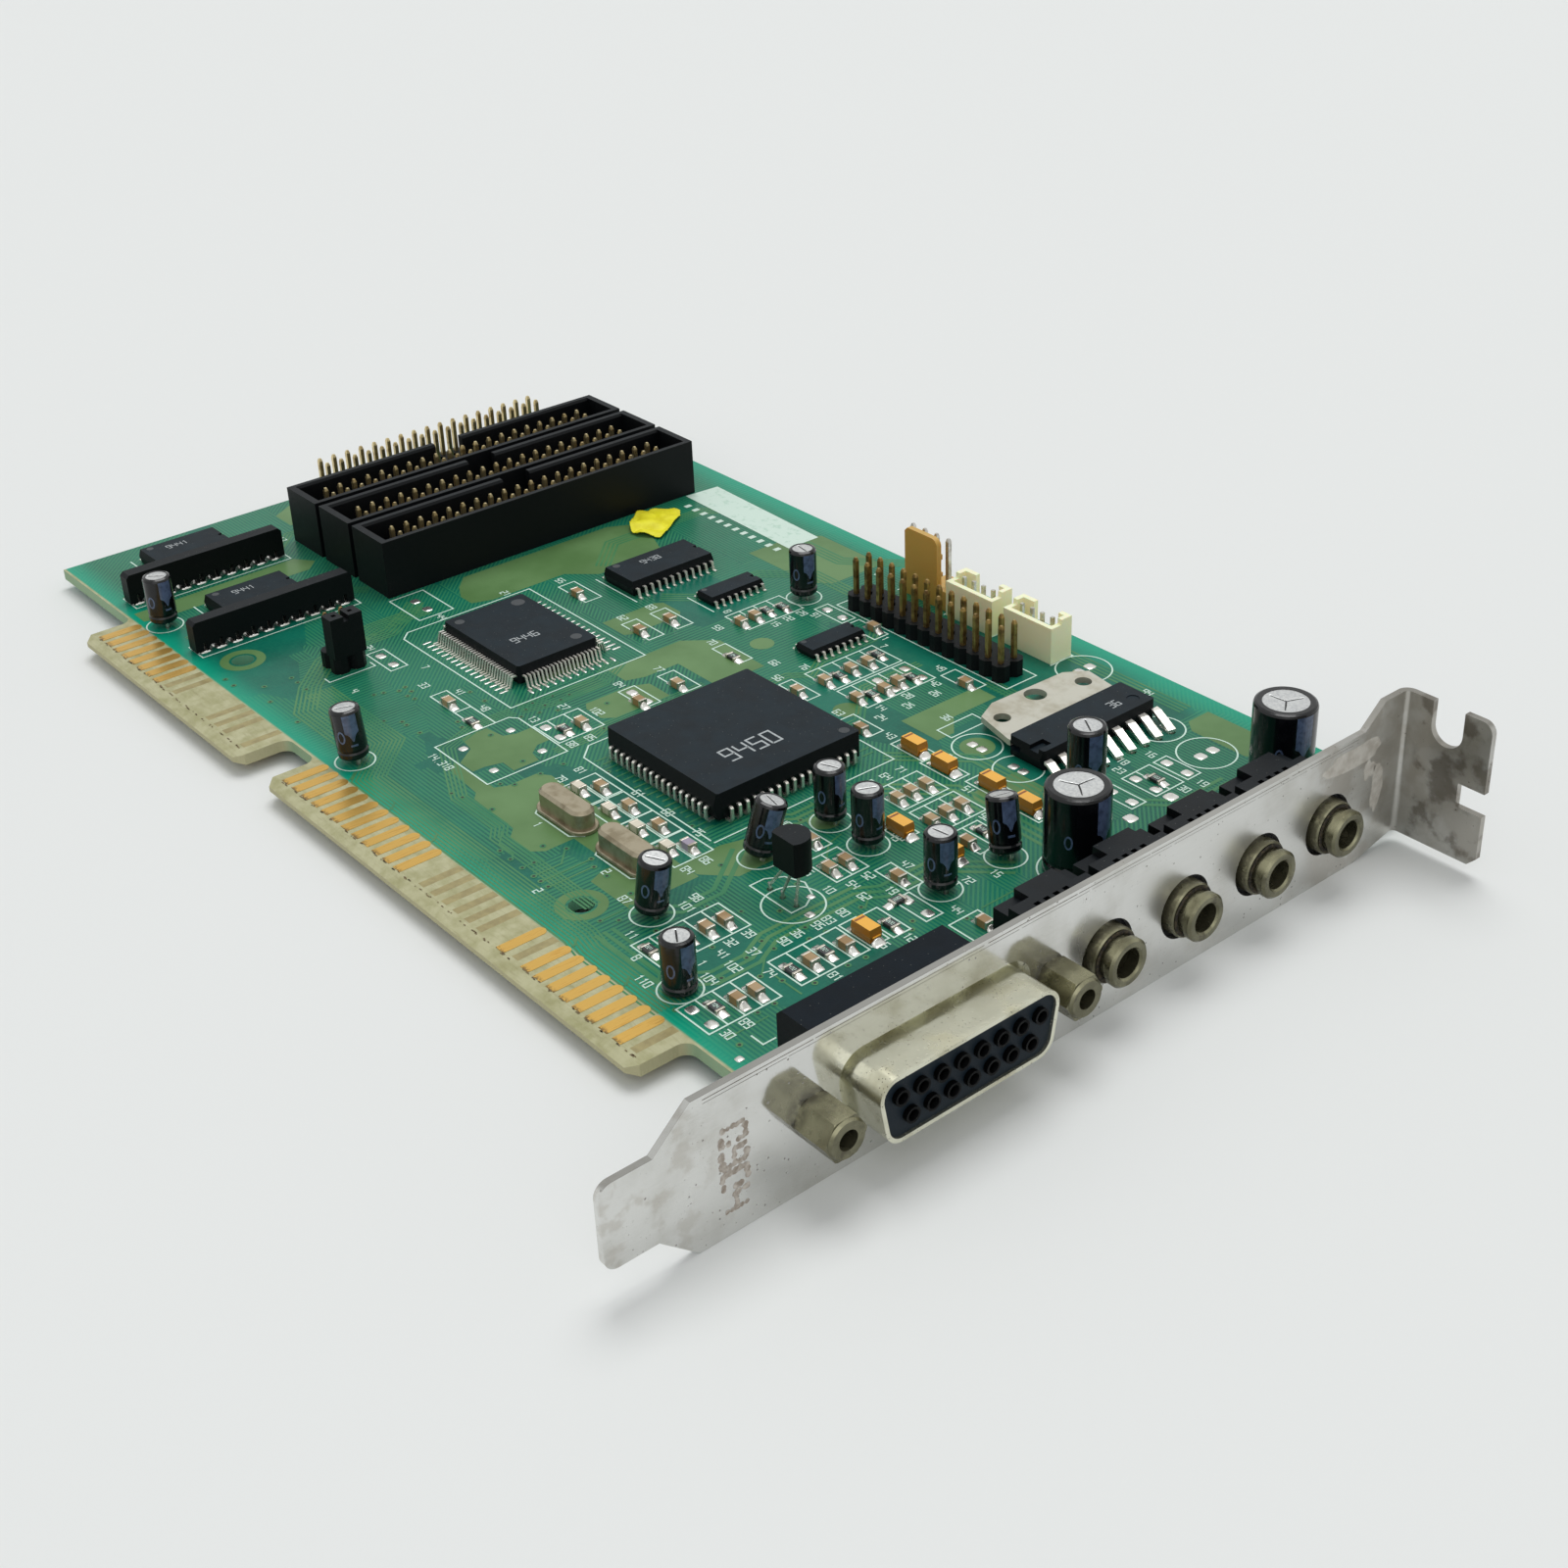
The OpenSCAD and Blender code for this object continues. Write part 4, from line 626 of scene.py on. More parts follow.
BUNDLES = [
    ([(-30, 1.6), (-45, 1.6), (-48, 2.2), (-96, 2.2), (-103, 9.2), (-122, 9.2)], 9, 0.52),
    ([(-52, 6.8), (-72.5, 6.9), (-74.5, 8.4), (-84, 8.4), (-96, 14), (-98.4, 20), (-98.4, 26)],
     5, 0.5),
    ([(-105, 5.0), (-118, 5.0), (-124, 9), (-129.5, 14.5), (-134, 25), (-134, 34)], 6, 0.6),
    ([(-131, 15), (-131, 26), (-134.5, 31), (-137.2, 34)], 5, 0.6),
    ([(-85.2, 24), (-85.2, 30), (-86.4, 33), (-86.4, 50)], 4, 0.5),
    ([(-98.4, 27), (-97.3, 31), (-97.3, 40), (-100.5, 45)], 6, 0.55),
    ([(-113, 62), (-109, 66), (-109, 78), (-103, 84), (-94, 84), (-84, 93.2), (-36, 93.2)], 4, 0.7),
    ([(-128, 62), (-134, 68), (-134, 86), (-131, 90), (-104, 90), (-96, 97)], 4, 0.7),
    ([(-46.8, 4.6), (-34, 4.6), (-31, 8.6), (-31, 14), (-33, 18), (-33, 31), (-31, 34),
      (-31, 42), (-24, 49)], 3, 1.15),
    ([(-50, 27), (-46.2, 22), (-44.4, 19.6), (-44.4, 14), (-48.6, 9.4)], 2, 1.3),
    ([(-54, 33), (-50.6, 36.5), (-50.6, 47), (-48, 50), (-42, 56), (-22, 56)], 3, 1.1),
    ([(-54.6, 55), (-46, 63.5), (-36, 63.5), (-24, 63)], 3, 0.9),
    ([(-24, 71), (-20.2, 74.6), (-20.2, 83)], 2, 1.2),
    ([(-64, 56.5), (-64, 59), (-70.5, 65.6), (-70.5, 76)], 3, 0.6),
    ([(-80.6, 56.5), (-80.6, 60), (-78.4, 62.6), (-80.6, 66), (-80.6, 76), (-84, 80)], 3, 0.6),
    ([(-60, 79.2), (-44, 79.2)], 4, 0.6),
    ([(-168.8, 2), (-168.8, 28), (-173, 32), (-173, 60)], 3, 0.6),
    ([(-149.6, 3), (-149.6, 27), (-146, 31)], 4, 0.55),
]
SINGLES = [
    [(-66.9, 5.2), (-68, 6.1), (-71, 6.1), (-73.4, 8)], [(-64.5, 11.4), (-62.1, 9.2), (-62.1, 5.2)],
    [(-60.5, 12.5), (-60.5, 5.2)], [(-58.9, 11.7), (-58.9, 5.2)], [(-64.6, 6.9), (-64.6, 5.2)],
    [(-31, 16), (-27.6, 12.6)], [(-21.4, 2.6), (-21.4, 8.6)], [(-34, 3), (-36, 4.6)],
    [(-48.9, 5.6), (-48.9, 9)], [(-26.8, 13.8), (-22, 13.8)], [(-29.8, 30), (-32.2, 33)],
    [(-44, 38.6), (-43.4, 36), (-40.4, 33)], [(-33.6, 44.4), (-33.6, 47.6)],
    [(-25, 57.5), (-25, 62)], [(-20.6, 40), (-20.6, 47)], [(-52.4, 40.5), (-49.6, 40.5)],
]


# Edge contacts of the two tabs: X of the first one, and how many stand on one face.
TABS = ((-26.53, 31), (-115.43, 18))
PITCH = 2.54


def tracks(bm):
    for k, (path, count, step) in enumerate(BUNDLES):
        for i in range(count):
            line = beside(path, (i - (count - 1) / 2) * step)
            stroke(bm, line, step * 0.48, TRACK + k * 0.0006)
    for k, path in enumerate(SINGLES):
        stroke(bm, path, 0.24, TRACK + 0.012 + k * 0.0004)
    for i in (4, 8, 20, 24, 28):
        x = TABS[0][0] - i * PITCH
        stroke(bm, [(x, 0.2), (x, 0.6), (x - 1.1, 1.7)], 0.3, TRACK + 0.019)
    for row, way in ((28.2, -1), (52.9, 1)):
        for i in range(19):
            x = -79.4 + i * 23 / 18
            path = [(x, row), (x, row + way * (1.2 + rng.random() * 1.6))]
            stroke(bm, path, 0.26, TRACK + 0.0195)


piece("board_tracks", track_mat, tracks)

# %% [markdown]
# ## Drilled vias
# A via is a small plated hole. From above it is a dark dot with a slightly paler rim of
# masked copper. Real holes would cut the board's mesh hundreds of times for half a
# millimetre each, so each via is a rim with a dark disc of painted shade set into its middle.

# %% Via rims and holes
VIAS = [(-97, 34.4), (-96.6, 32.7), (-98.3, 32.5), (-96.8, 30.2), (-98.5, 29.3), (-95.6, 28.5),
        (-97.6, 27.6), (-96.3, 26), (-94.4, 30.7), (-91.4, 36.8), (-85.9, 32.4), (-94.9, 20.2),
        (-86.1, 19.5), (-81.8, 23), (-81.8, 19.4), (-81.8, 15.4), (-83.2, 14.1), (-78.6, 9.9),
        (-67, 9.8), (-85.5, 8.2), (-83.7, 8.7), (-69.7, 5.3), (-67.2, 5.2), (-64.6, 5.2),
        (-64.6, 6.9), (-62.1, 5.2), (-60.6, 5.2), (-59, 5.2), (-64.5, 11.6), (-60.5, 12.5),
        (-58.8, 11.7), (-56.1, 11.7), (-51.1, 11.6), (-70.8, 23.6), (-76.1, 26.1), (-58.1, 26.1),
        (-128.2, 8.4), (-126.4, 8.4), (-123.7, 8.3), (-128.5, 4.3), (-123.9, 2.8), (-116.1, 2.8),
        (-134.3, 1.3), (-131.8, 1.3), (-114.7, 18.8), (-113, 18.8), (-114.3, 17.6),
        (-112.2, 17.7), (-110.8, 18), (-115.3, 15.7), (-115.7, 14.4), (-108.2, 11.6),
        (-106.3, 13.3), (-105.1, 13.3), (-102, 13.5), (-101.1, 18.9), (-99.4, 18.5),
        (-103.6, 24.8), (-107.2, 24.7), (-39.2, 18.9), (-42.7, 16.6), (-32.9, 16.9),
        (-30.8, 17), (-31.5, 13.6), (-27.7, 12.5), (-22.7, 10.5), (-22.7, 8.1), (-22.6, 16.2),
        (-25.4, 13.8), (-22.6, 21.1), (-22.4, 23.6), (-24.1, 32.3), (-22.9, 31.1), (-30.3, 29.8),
        (-29.3, 23.6), (-29.5, 21.2), (-31.6, 22.3), (-36.2, 22.3), (-39.2, 27.4), (-48.6, 23.3),
        (-47.5, 7.3), (-48.9, 5.6), (-42.8, 9.2), (-35.8, 12), (-30.4, 9.1), (-29.2, 1.8),
        (-19.6, 3.1), (-20.2, 37.3), (-49.9, 36.9)]


def via_discs(r, n, above, below):
    """Discs at every via, on the board's upper face and on its lower one."""
    def fill(bm):
        for x, y in VIAS:
            plate(bm, circle(x, y, r, n), above)
            plate(bm, circle(x, y, r, n), below)
    return fill


# Painted shade: the dark disc stands for the shade inside each hole.
hole_shade_mat = two_tone("via_hole_shade", (4, 2), (0.3, 0.8), hue(10, 26, 20), hue(30, 52, 40), 0.6,
                    relief=(6, 2))
piece("via_rims", track_mat, via_discs(0.42, 14, VIA, UNDER - 0.019))
piece("via_holes", hole_shade_mat, via_discs(0.21, 12, VIA + 0.002, UNDER - 0.023))

# %% [markdown]
# ## Printed outlines
# White ink outlines show where each part goes: a frame round every chip part, a ring round
# every can, a D for the transistor. Plain numbers stand beside them. A font object would
# draw its own letter shapes, so the digits are short strokes, like those of a plotter pen.

# %% Ink and digits
ink_mat = two_tone("white_ink", (2.2, 3), (0.62, 0.75), hue(205, 232, 218),
                   hue(120, 176, 150), 0.55, relief=(5, 2), part=0.6)
# Each digit is drawn in a box 2 wide and 4 high, as lines of X and Y in turn.
DIGITS = {
    "0": [(0, 0, 2, 0, 2, 4, 0, 4, 0, 0)], "1": [(0.4, 3.2, 1.2, 4, 1.2, 0)],
    "2": [(0, 4, 2, 4, 2, 2, 0, 2, 0, 0, 2, 0)], "3": [(0, 4, 2, 4, 2, 0, 0, 0), (0.4, 2, 2, 2)],
    "4": [(0, 4, 0, 2, 2, 2), (2, 4, 2, 0)], "5": [(2, 4, 0, 4, 0, 2, 2, 2, 2, 0, 0, 0)],
    "6": [(2, 4, 0, 4, 0, 0, 2, 0, 2, 2, 0, 2)], "7": [(0, 4, 2, 4, 0.8, 0)],
    "8": [(0, 0, 2, 0, 2, 4, 0, 4, 0, 0), (0, 2, 2, 2)],
    "9": [(0, 0, 2, 0, 2, 4, 0, 4, 0, 2, 2, 2)], ".": [(0.8, 0, 1.2, 0)],
}


def digits(bm, text, x, y, tall, z, turn=0.0, pen=0.16):
    """Draws plain digits from their strokes, tall mm high, turned by turn degrees."""
    c, s = math.cos(math.radians(turn)), math.sin(math.radians(turn))
    for i, mark in enumerate(text):
        for line in DIGITS[mark]:
            level_line = [((line[k] + i * 3) * tall / 4, line[k + 1] * tall / 4)
                          for k in range(0, len(line), 2)]
            path = [(x + u * c - v * s, y + u * s + v * c) for u, v in level_line]
            stroke(bm, path, tall * pen, z)


print("digits that can be drawn:", "".join(DIGITS))

# %% Places of the printed frames, rings and outlines
# Frames have their left and right end, and the lines from one part of the row to the next.
FRAMES = [
    (-42.4, -36.3, (5.3, 7.8, 10.3, 12.8, 15.4, 18.0)), (-29.2, -23.2, (1.8, 4.4, 6.8, 9.3, 11.9)),
    (-29.2, -23.2, (14.8, 17.4, 19.9, 22.4, 24.9)), (-29.2, -23.4, (25.4, 28.0)),
    (-29.0, -23.1, (28.5, 31.1)), (-28.8, -22.9, (33.4, 36.0)), (-42.1, -36.2, (31.1, 33.6, 36.2)),
    (-49, -43.1, (33.7, 36.2)), (-35, -29.2, (36.1, 38.7)), (-77, -71, (22.0, 24.7)),
    (-70.7, -64.5, (22.0, 24.7)), (-64.4, -58.3, (22.0, 24.7)), (-58.1, -52, (22.0, 24.7)),
    (-77, -71, (18.8, 21.7)), (-70.7, -64.5, (18.8, 21.7)), (-64.4, -58.3, (18.8, 21.7)),
    (-58.1, -52, (18.8, 21.7)), (-92.9, -86.7, (25.7, 27.9, 30.6, 33.0)),
    (-127, -120.2, (19.8, 22.5)), (-109.8, -103.5, (19.9, 22.5)), (-103.5, -97.3, (19.9, 22.5)),
    (-126.5, -119.3, (52.7, 55.6)), (-109.5, -102.7, (52.3, 55)), (-109.5, -102.7, (57.5, 60.3)),
    (-79.2, -72.8, (62.1, 64.6, 67.1, 69.6, 72.2, 74.7)),
    (-72.2, -65.8, (62.1, 64.6, 67.1, 69.6, 72.2, 74.7)), (-65.7, -59.5, (75.7, 78.4)),
    (-79.2, -73, (57.4, 59.7)), (-65.8, -59.7, (57, 59.5)), (-94.2, -88, (57.3, 59.7)),
    (-92.8, -86.5, (46.5, 49.3)), (-92.9, -86.7, (39.8, 42.5)), (-93.8, -87.5, (76.2, 78.8)),
    (-86.7, -80.3, (76.2, 78.8)), (-101, -95.3, (65, 67.6, 70.2, 72.7, 75.3)),
    (-54.8, -52, (64.8, 71.3)), (-56.3, -50, (57.8, 60.5)), (-41, -37.7, (43, 45.8)),
    (-48.8, -42.8, (48, 50.5, 53, 55.6)), (-41.9, -35.9, (48, 50.5, 53, 55.6)),
    (-34.8, -29, (47.9, 50.4, 53)), (-29.4, -23.5, (79.5, 82)),
    (-29.4, -23.5, (73.5, 76.1, 78.7)), (-29.4, -23.5, (69, 71.6)), (-140, -131.3, (31.2, 37)),
    (-42.6, -35.6, (58.4, 61.2)), (-35.2, -29.2, (58.2, 60.9)), (-50, -43.6, (57.3, 60)),
    (-27.6, -26.2, (40.4, 41.8)), (-20.6, -14.8, (34.8, 39.4)),
]
RINGS = [(-36.1, 24.3, 3.85), (-48, 65.7, 3.4), (-40.2, 65.6, 3.4), (-26.3, 86.4, 4),
         (-53.4, 91.6, 4), (-34.7, 86.7, 3.4), (-45.9, 10.9, 2.65), (-31.8, 4.4, 2.65),
         (-46.8, 27.7, 2.65), (-47.1, 39.5, 2.65), (-39.9, 39.4, 2.65), (-26.7, 39.2, 2.65),
         (-26.5, 49.8, 2.65), (-98.0, 77.7, 2.65), (-156.3, 2.7, 2.65), (-101.4, 3.3, 2.65),
         (-28.9, 66.2, 3.1), (-18.9, 54.1, 4.7), (-15.2, 87.6, 4.7)]
OUTLINES = [
    ([(-97.3, 24.6), (-96.2, 25.5), (-84.2, 25.3), (-84.2, 12.8), (-97.2, 12.9)], True),
    ([(-127.6, 26.3), (-99.3, 26.3), (-99.3, 49.1), (-129.1, 49.1), (-129.1, 27.8)], True),
    ([(-83.5, 31.8), (-83.5, 28.2), (-81.3, 25.9), (-53.7, 25.7)], False),
    ([(-53.1, 25.7), (-53.1, 55.5), (-60, 55.5)], False),
    ([(-75.3, 14.9), (-74, 13.4), (-66.6, 13.4), (-65.2, 14.9)], False),
    ([(-62.2, 14.9), (-60.9, 13.4), (-53.7, 13.4), (-52.3, 14.9)], False),
    ([(-147, 2), (-142.6, 2), (-142.6, 27.8), (-147, 27.8)], True),
    ([(-169, 2), (-164.4, 2), (-164.4, 27.8), (-169, 27.8)], True),
    ([(-159, 8.6), (-147.8, 8.6)], False), ([(-180.8, 8.6), (-170.2, 8.6)], False),
    ([(-124.7, 11.7), (-123.2, 11.7), (-123.2, 19), (-124.7, 19)], False),
    ([(-92.6, 79.6), (-56.6, 79.6), (-56.6, 85.4), (-92.6, 85.4)], True),
    ([(-124.8, 58.4), (-114, 58.4)], False), ([(-103.4, 64.8), (-110, 64.8)], False),
    ([(-20, 5.0), (-17.9, 5.0), (-17.9, 6.8)], False),
    ([(-57.3, 88.9), (-57.3, 93.4), (-67.3, 93.4), (-67.3, 88.9)], False),
    ([(-69.3, 88.9), (-69.3, 93.4), (-79.3, 93.4), (-79.3, 88.9)], False),
    ([(-90.2, 89.6), (-90.2, 94.6), (-79.6, 94.6)], False),
]
NUMBERS = [
    ("44", -23, 37), ("52", -35.4, 34.2), ("54", -35.2, 31.6), ("62", -32.4, 30.9),
    ("80", -31.6, 26.9), ("83", -31.6, 24.7), ("36", -32, 20.3), ("90", -31.8, 18.2),
    ("98", -45.8, 16.2), ("101", -45.5, 14.2), ("37", -32.6, 14.3), ("41", -34.6, 11.4),
    ("102", -32.4, 10.8), ("1", -34.4, 8.6), ("104", -32.4, 7.4), ("8", -40.3, 3.8),
    ("110", -37, 1.7), ("89", -22.7, 5.4), ("30", -22.6, 2.7), ("86", -51.4, 22),
    ("84", -51.2, 19), ("87", -51.2, 9.7), ("81", -79.6, 23.1), ("79", -79.6, 20),
    ("1", -71.9, 11.5), ("2", -57.2, 11.6), ("2", -59.4, 3.2), ("85", -85.8, 29),
    ("88", -86, 26.2), ("14.318", -95.8, 10.8), ("102", -91.6, 33.8), ("10", -36.4, 28.8),
    ("46", -46.8, 42.6), ("49", -39.6, 42.3), ("31", -34.6, 45.4), ("15", -25.4, 45.8),
    ("60", -110.6, 46.2), ("21", -131, 45), ("7", -118.2, 23.4), ("33", -114, 20.4),
    ("103", -82.4, 55.9), ("59", -99.6, 61.4), ("66", -85.4, 60.5), ("24", -63.2, 61),
    ("25", -63.2, 66), ("26", -63.2, 71), ("92", -103.4, 79.6), ("17", -33.6, 71.4),
    ("18", -33, 76.2), ("19", -22.4, 79.6), ("94", -43.4, 92.4), ("6", -96.6, 90.6),
    ("11", -151.8, 29.4), ("13", -172.6, 29.6), ("3", -136, 22), ("4", -118.8, 12.4),
]


print("printed:", len(FRAMES), "frames", len(RINGS), "rings", len(NUMBERS), "numbers")

# %% Outlines
INK_WIDE = 0.23


def print_lines(bm):
    for k, (left, right, lines) in enumerate(FRAMES):
        z = INK + (k % 4) * 0.0006
        stroke(bm, corners(left, lines[0], right, lines[-1]), INK_WIDE, z, closed=True)
        for y in lines[1:-1]:
            stroke(bm, [(left + 0.11, y), (right - 0.11, y)], INK_WIDE, z)
    for k, (x, y, r) in enumerate(RINGS):
        stroke(bm, circle(x, y, r, 44), INK_WIDE, INK + 0.003 + (k % 3) * 0.0006, closed=True)
    for k, (path, closed) in enumerate(OUTLINES):
        stroke(bm, path, INK_WIDE, INK + 0.005 + (k % 4) * 0.0006, closed)
    arch = [(-42.7, 23.0), (-42.7, 25.2), (-41.4, 27.3), (-38.8, 28.3), (-36.2, 27.3),
            (-34.9, 25.2), (-34.9, 23.0)]
    stroke(bm, arch, INK_WIDE, INK + 0.008, closed=True)


piece("printed_outlines", ink_mat, print_lines)

# %% Numbers, also where there is room for one more


def crossing(a, b):
    """True if two boxes of left, low, right, high share some ground."""
    return a[0] < b[2] and b[0] < a[2] and a[1] < b[3] and b[1] < a[3]


def free_labels():
    """Finds room beside each frame for one more number, clear of parts, frames and labels."""
    taken = [(a, lines[0], b, lines[-1]) for a, b, lines in FRAMES]
    taken += [(x - r, y - r, x + r, y + r) for x, y, r in RINGS]
    taken += [(x - 0.3, y - 0.3, x + len(t) * 0.9 + 0.2, y + 1.5) for t, x, y in NUMBERS]
    taken += [(x - 0.4, y - 0.4, x + 0.4, y + 0.4) for x, y in VIAS]
    taken += [(-141, 84, -112, 95), (-140, 72, -129, 83), (-97.4, 12.7, -84, 25.6)]
    for name in nodes:
        if name not in ("circuit_board", "bracket", "edge_contacts"):
            taken += [(a[0] - 0.3, a[1] - 0.3, b[0] + 0.3, b[1] + 0.3) for a, b in boxes(name)]
    found = []
    number = 3
    for left, right, lines in FRAMES:
        for low, high in zip(lines, lines[1:]):
            number += 7
            text, mid = str(1 + number % 97), (low + high) / 2 - 0.55
            wide = 0.95 * len(text)
            for x, y in ((left - wide - 0.5, mid), (right + 0.5, mid), (left + 1, high + 0.5),
                         (left + 1, low - 1.7)):
                spot = (x - 0.1, y - 0.1, x + wide, y + 1.25)
                on_board = spot[2] < -1 and 0.5 < y < 95
                if on_board and not any(crossing(spot, other) for other in taken):
                    found.append((text, x, y))
                    taken.append(spot)
                    break
    print("labels that found room:", len(found))
    return found


def print_numbers(bm):
    for text, x, y in NUMBERS + free_labels():
        digits(bm, text, x, y, 1.15, NUMBER)


piece("printed_numbers", ink_mat, print_numbers)

# %% White block with a row of marks
block_mat = two_tone("ink_block", (0.8, 4), (0.55, 0.7), hue(205, 226, 214),
                     hue(140, 186, 162), 0.55, relief=(3, 2), part=0.4)


def ink_block(bm):
    plate(bm, [(-140.7, 87.8), (-113.0, 87.1), (-113.0, 93.2), (-140.2, 94.1)], BLOCK)
    for i in range(12):
        x = -137.6 + i * 2.1
        plate(bm, corners(x, 85.0, x + 0.9, 86.2), BLOCK)


piece("ink_block", block_mat, ink_block)

# %% [markdown]
# ## Chip parts with soldered ends
# A chip capacitor is a fired ceramic brick with tinned end caps, and a resistor is a thin
# white slab with a dark film and its value in digits. CAD keeps each as one plain brick, so
# new ones with rounded edges stand in for them here: the ceramic, the caps, and a solder
# slope at each end, which is the brightest spot on a real board.

# %% Ceramic, film and tinned ends
ceramic = Finish("fired_ceramic")
which = ceramic.grain(0.12, 1).ramp(0.42, 0.58)
tint = which.blend(hue(150, 120, 78), hue(172, 146, 108))
# One row of capacitors is purple, and a few beside the square chip are pale.
purple = ceramic.x.ramp(-56, -55.5) * (1 - ceramic.x.ramp(-53.5, -53))
tint = (purple * (1 - ceramic.y.ramp(28, 29))).blend(tint, hue(158, 148, 166))
pale = (1 - ceramic.y.ramp(21.5, 21.7)) * ceramic.y.ramp(19, 19.2) * (1 - ceramic.x.ramp(-54, -53))
tint = (pale * ceramic.x.ramp(-77, -76.5)).blend(tint, hue(222, 214, 196))
ceramic_mat = ceramic.done(tint, 0.46, 0.0, ceramic.grain(4, 3), 0.015)
film_mat = two_tone("resistor_film", (1.5, 3), (0.3, 0.7), hue(34, 34, 36), hue(60, 60, 62), 0.4,
                    relief=(5, 2))
solder = plated("bright_solder", hue(232, 231, 226), hue(196, 194, 186), 0.2)
cap_mat = plated("end_cap", hue(206, 200, 188), hue(160, 152, 138), 0.32)
print("chip part finishes:", ceramic_mat.name, film_mat.name, cap_mat.name)

# %% Bricks and end caps


def brick(bm, low, high, r=0.08):
    """A box with rounded edges between two corners in card millimetres."""
    low, high = Vector(low), Vector(high)
    made = bmesh.ops.create_cube(bm, size=1.0)["verts"]
    size, mid = high - low, (high + low) / 2
    for v in made:
        v.co = at(*(mid + Vector(v.co[k] * size[k] for k in range(3))))
    edges = list({e for v in made for e in v.link_edges})
    bmesh.ops.bevel(bm, geom=edges, offset=r * MM, segments=2, profile=0.5, affect="EDGES")


def halves(low, high):
    """Long direction, centre and half sizes of one chip part."""
    mid, half = (low + high) / 2, (high - low) / 2
    along = 0 if half[0] >= half[1] else 1
    return along, mid, half


def middles(parts, sink):
    """The bare middle of each part, a little thinner than its tinned ends."""
    def fill(bm):
        for low, high in parts:
            along = halves(low, high)[0]
            inset = np.array((0.03, 0.03, 0.02))
            inset[along] = 0.33
            brick(bm, low + inset, high - (inset[0], inset[1], sink), 0.05)
    return fill


def caps(parts):
    """Both tinned ends of each part."""
    def fill(bm):
        for low, high in parts:
            along = halves(low, high)[0]
            first_end, last_start = high.copy(), low.copy()
            first_end[along] = low[along] + 0.36
            last_start[along] = high[along] - 0.36
            brick(bm, low, first_end, 0.07)
            brick(bm, last_start, high, 0.07)
    return fill


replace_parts(piece("ceramic_bricks", ceramic_mat, middles(chips, 0.02)),
            "chip_capacitors")
piece("ceramic_end_caps", cap_mat, caps(chips))
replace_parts(piece("resistor_slabs", film_mat, middles(resistors, 0.03)),
            "chip_resistors")
piece("resistor_end_caps", cap_mat, caps(resistors))

# %% Values and solder slopes


def slope(bm, x, y, way, reach, wide, tall):
    """A solder slope leaving (x, y) in direction way: high at the part, thin at its toe."""
    c, s = way
    rows = []
    for i in range(7):
        t = i / 6
        h = tall * (1 - t) ** 1.7 + 0.03
        w = wide * (1 - 0.25 * t ** 3)
        arc = [math.pi * k / 8 for k in range(9)]
        rows.append([(t * reach, w * math.cos(a), h * math.sin(a)) for a in arc])
    grid = [[bm.verts.new(at(x + u * c - v * s, y + u * s + v * c, FACE + 0.015 + h))
             for u, v, h in row] for row in rows]
    join_rows(bm, grid, closed=False)
    bm.faces.new(grid[-1])
    bm.faces.new(grid[0][::-1])


def chip_solder(bm):
    for parts, reach in ((chips, 0.95), (resistors, 0.95), (amber_chips, 0.9)):
        for low, high in parts:
            along, mid, half = halves(low, high)
            for end in (-1, 1):
                way = np.zeros(2)
                way[along] = end
                x, y = mid[:2] + way * (half[along] - 0.04)
                tall = min(0.85, (high[2] - FACE) * 0.75) * rng.uniform(0.85, 1.1)
                slope(bm, x, y, way, reach * rng.uniform(0.9, 1.15), half[1 - along] * 0.98, tall)


def resistor_numbers(bm):
    for i, (low, high) in enumerate(resistors):
        along, mid, half = halves(low, high)
        text = ("103", "472", "220", "104", "221")[i % 5]
        right, up, turn = ((-0.52, -0.24, 0), (0.24, -0.52, 90))[along]
        digits(bm, text, mid[0] + right, mid[1] + up, 0.48, high[2] - 0.005, turn)


piece("resistor_numbers", ink_mat, resistor_numbers)
piece("chip_solder", solder, chip_solder, smooth=True)

# %% [markdown]
# ## Empty pads
# Many printed frames hold no part. There the board shows two tinned pads, a little domed
# by the solder that ran over them in the bath. Each is a low rounded pillow, because a flat
# square would not catch the light along one edge as the real ones do.

# %% Pads in the empty frames
PADS = []
for left, right, lines in FRAMES:
    for low, high in zip(lines, lines[1:]):
        mid = np.array(((left + right) / 2, (low + high) / 2))
        off = [abs((a[:2] + b[:2]) / 2 - mid) for a, b in chips + resistors + amber_chips]
        if right - left > 5 and not any(x < 2.2 and y < 1.25 for x, y in off):
            PADS += [(mid[0] - 1.75, mid[1], 0.8, 0.7), (mid[0] + 1.75, mid[1], 0.8, 0.7)]
# Lone pads by size, then the three rows of fine pads round the flat chip's frame.
LONE = {
    0.5: [(-36, 26.9), (-17.7, 1.6)],
    0.6: [(-94.2, 22.9), (-86.6, 22.9), (-94.3, 15.5), (-86.7, 15.4), (-33.2, 24.4)],
    0.7: [(-48.9, 65.7), (-47.1, 65.7), (-41.1, 65.6), (-39.3, 65.6)],
    0.8: [(-26.3, 85.2), (-26.3, 87.6), (-53.4, 90.6), (-53.4, 92.8), (-34.7, 85.7),
          (-34.7, 87.9)],
    0.9: [(-22.2, 74.8), (-22.2, 67.3)],
}
PADS += [(x, y, size, size) for size, spots in LONE.items() for x, y in spots]
PADS += [(-124.3 + i * 1.27, y, 0.2, 0.75) for y in (28.2, 47.4) for i in range(17)]
PADS += [(-101.5, 31 + i * 1.27, 0.75, 0.2) for i in range(12)]
print("empty pads:", len(PADS))

# %% Low solder pillows


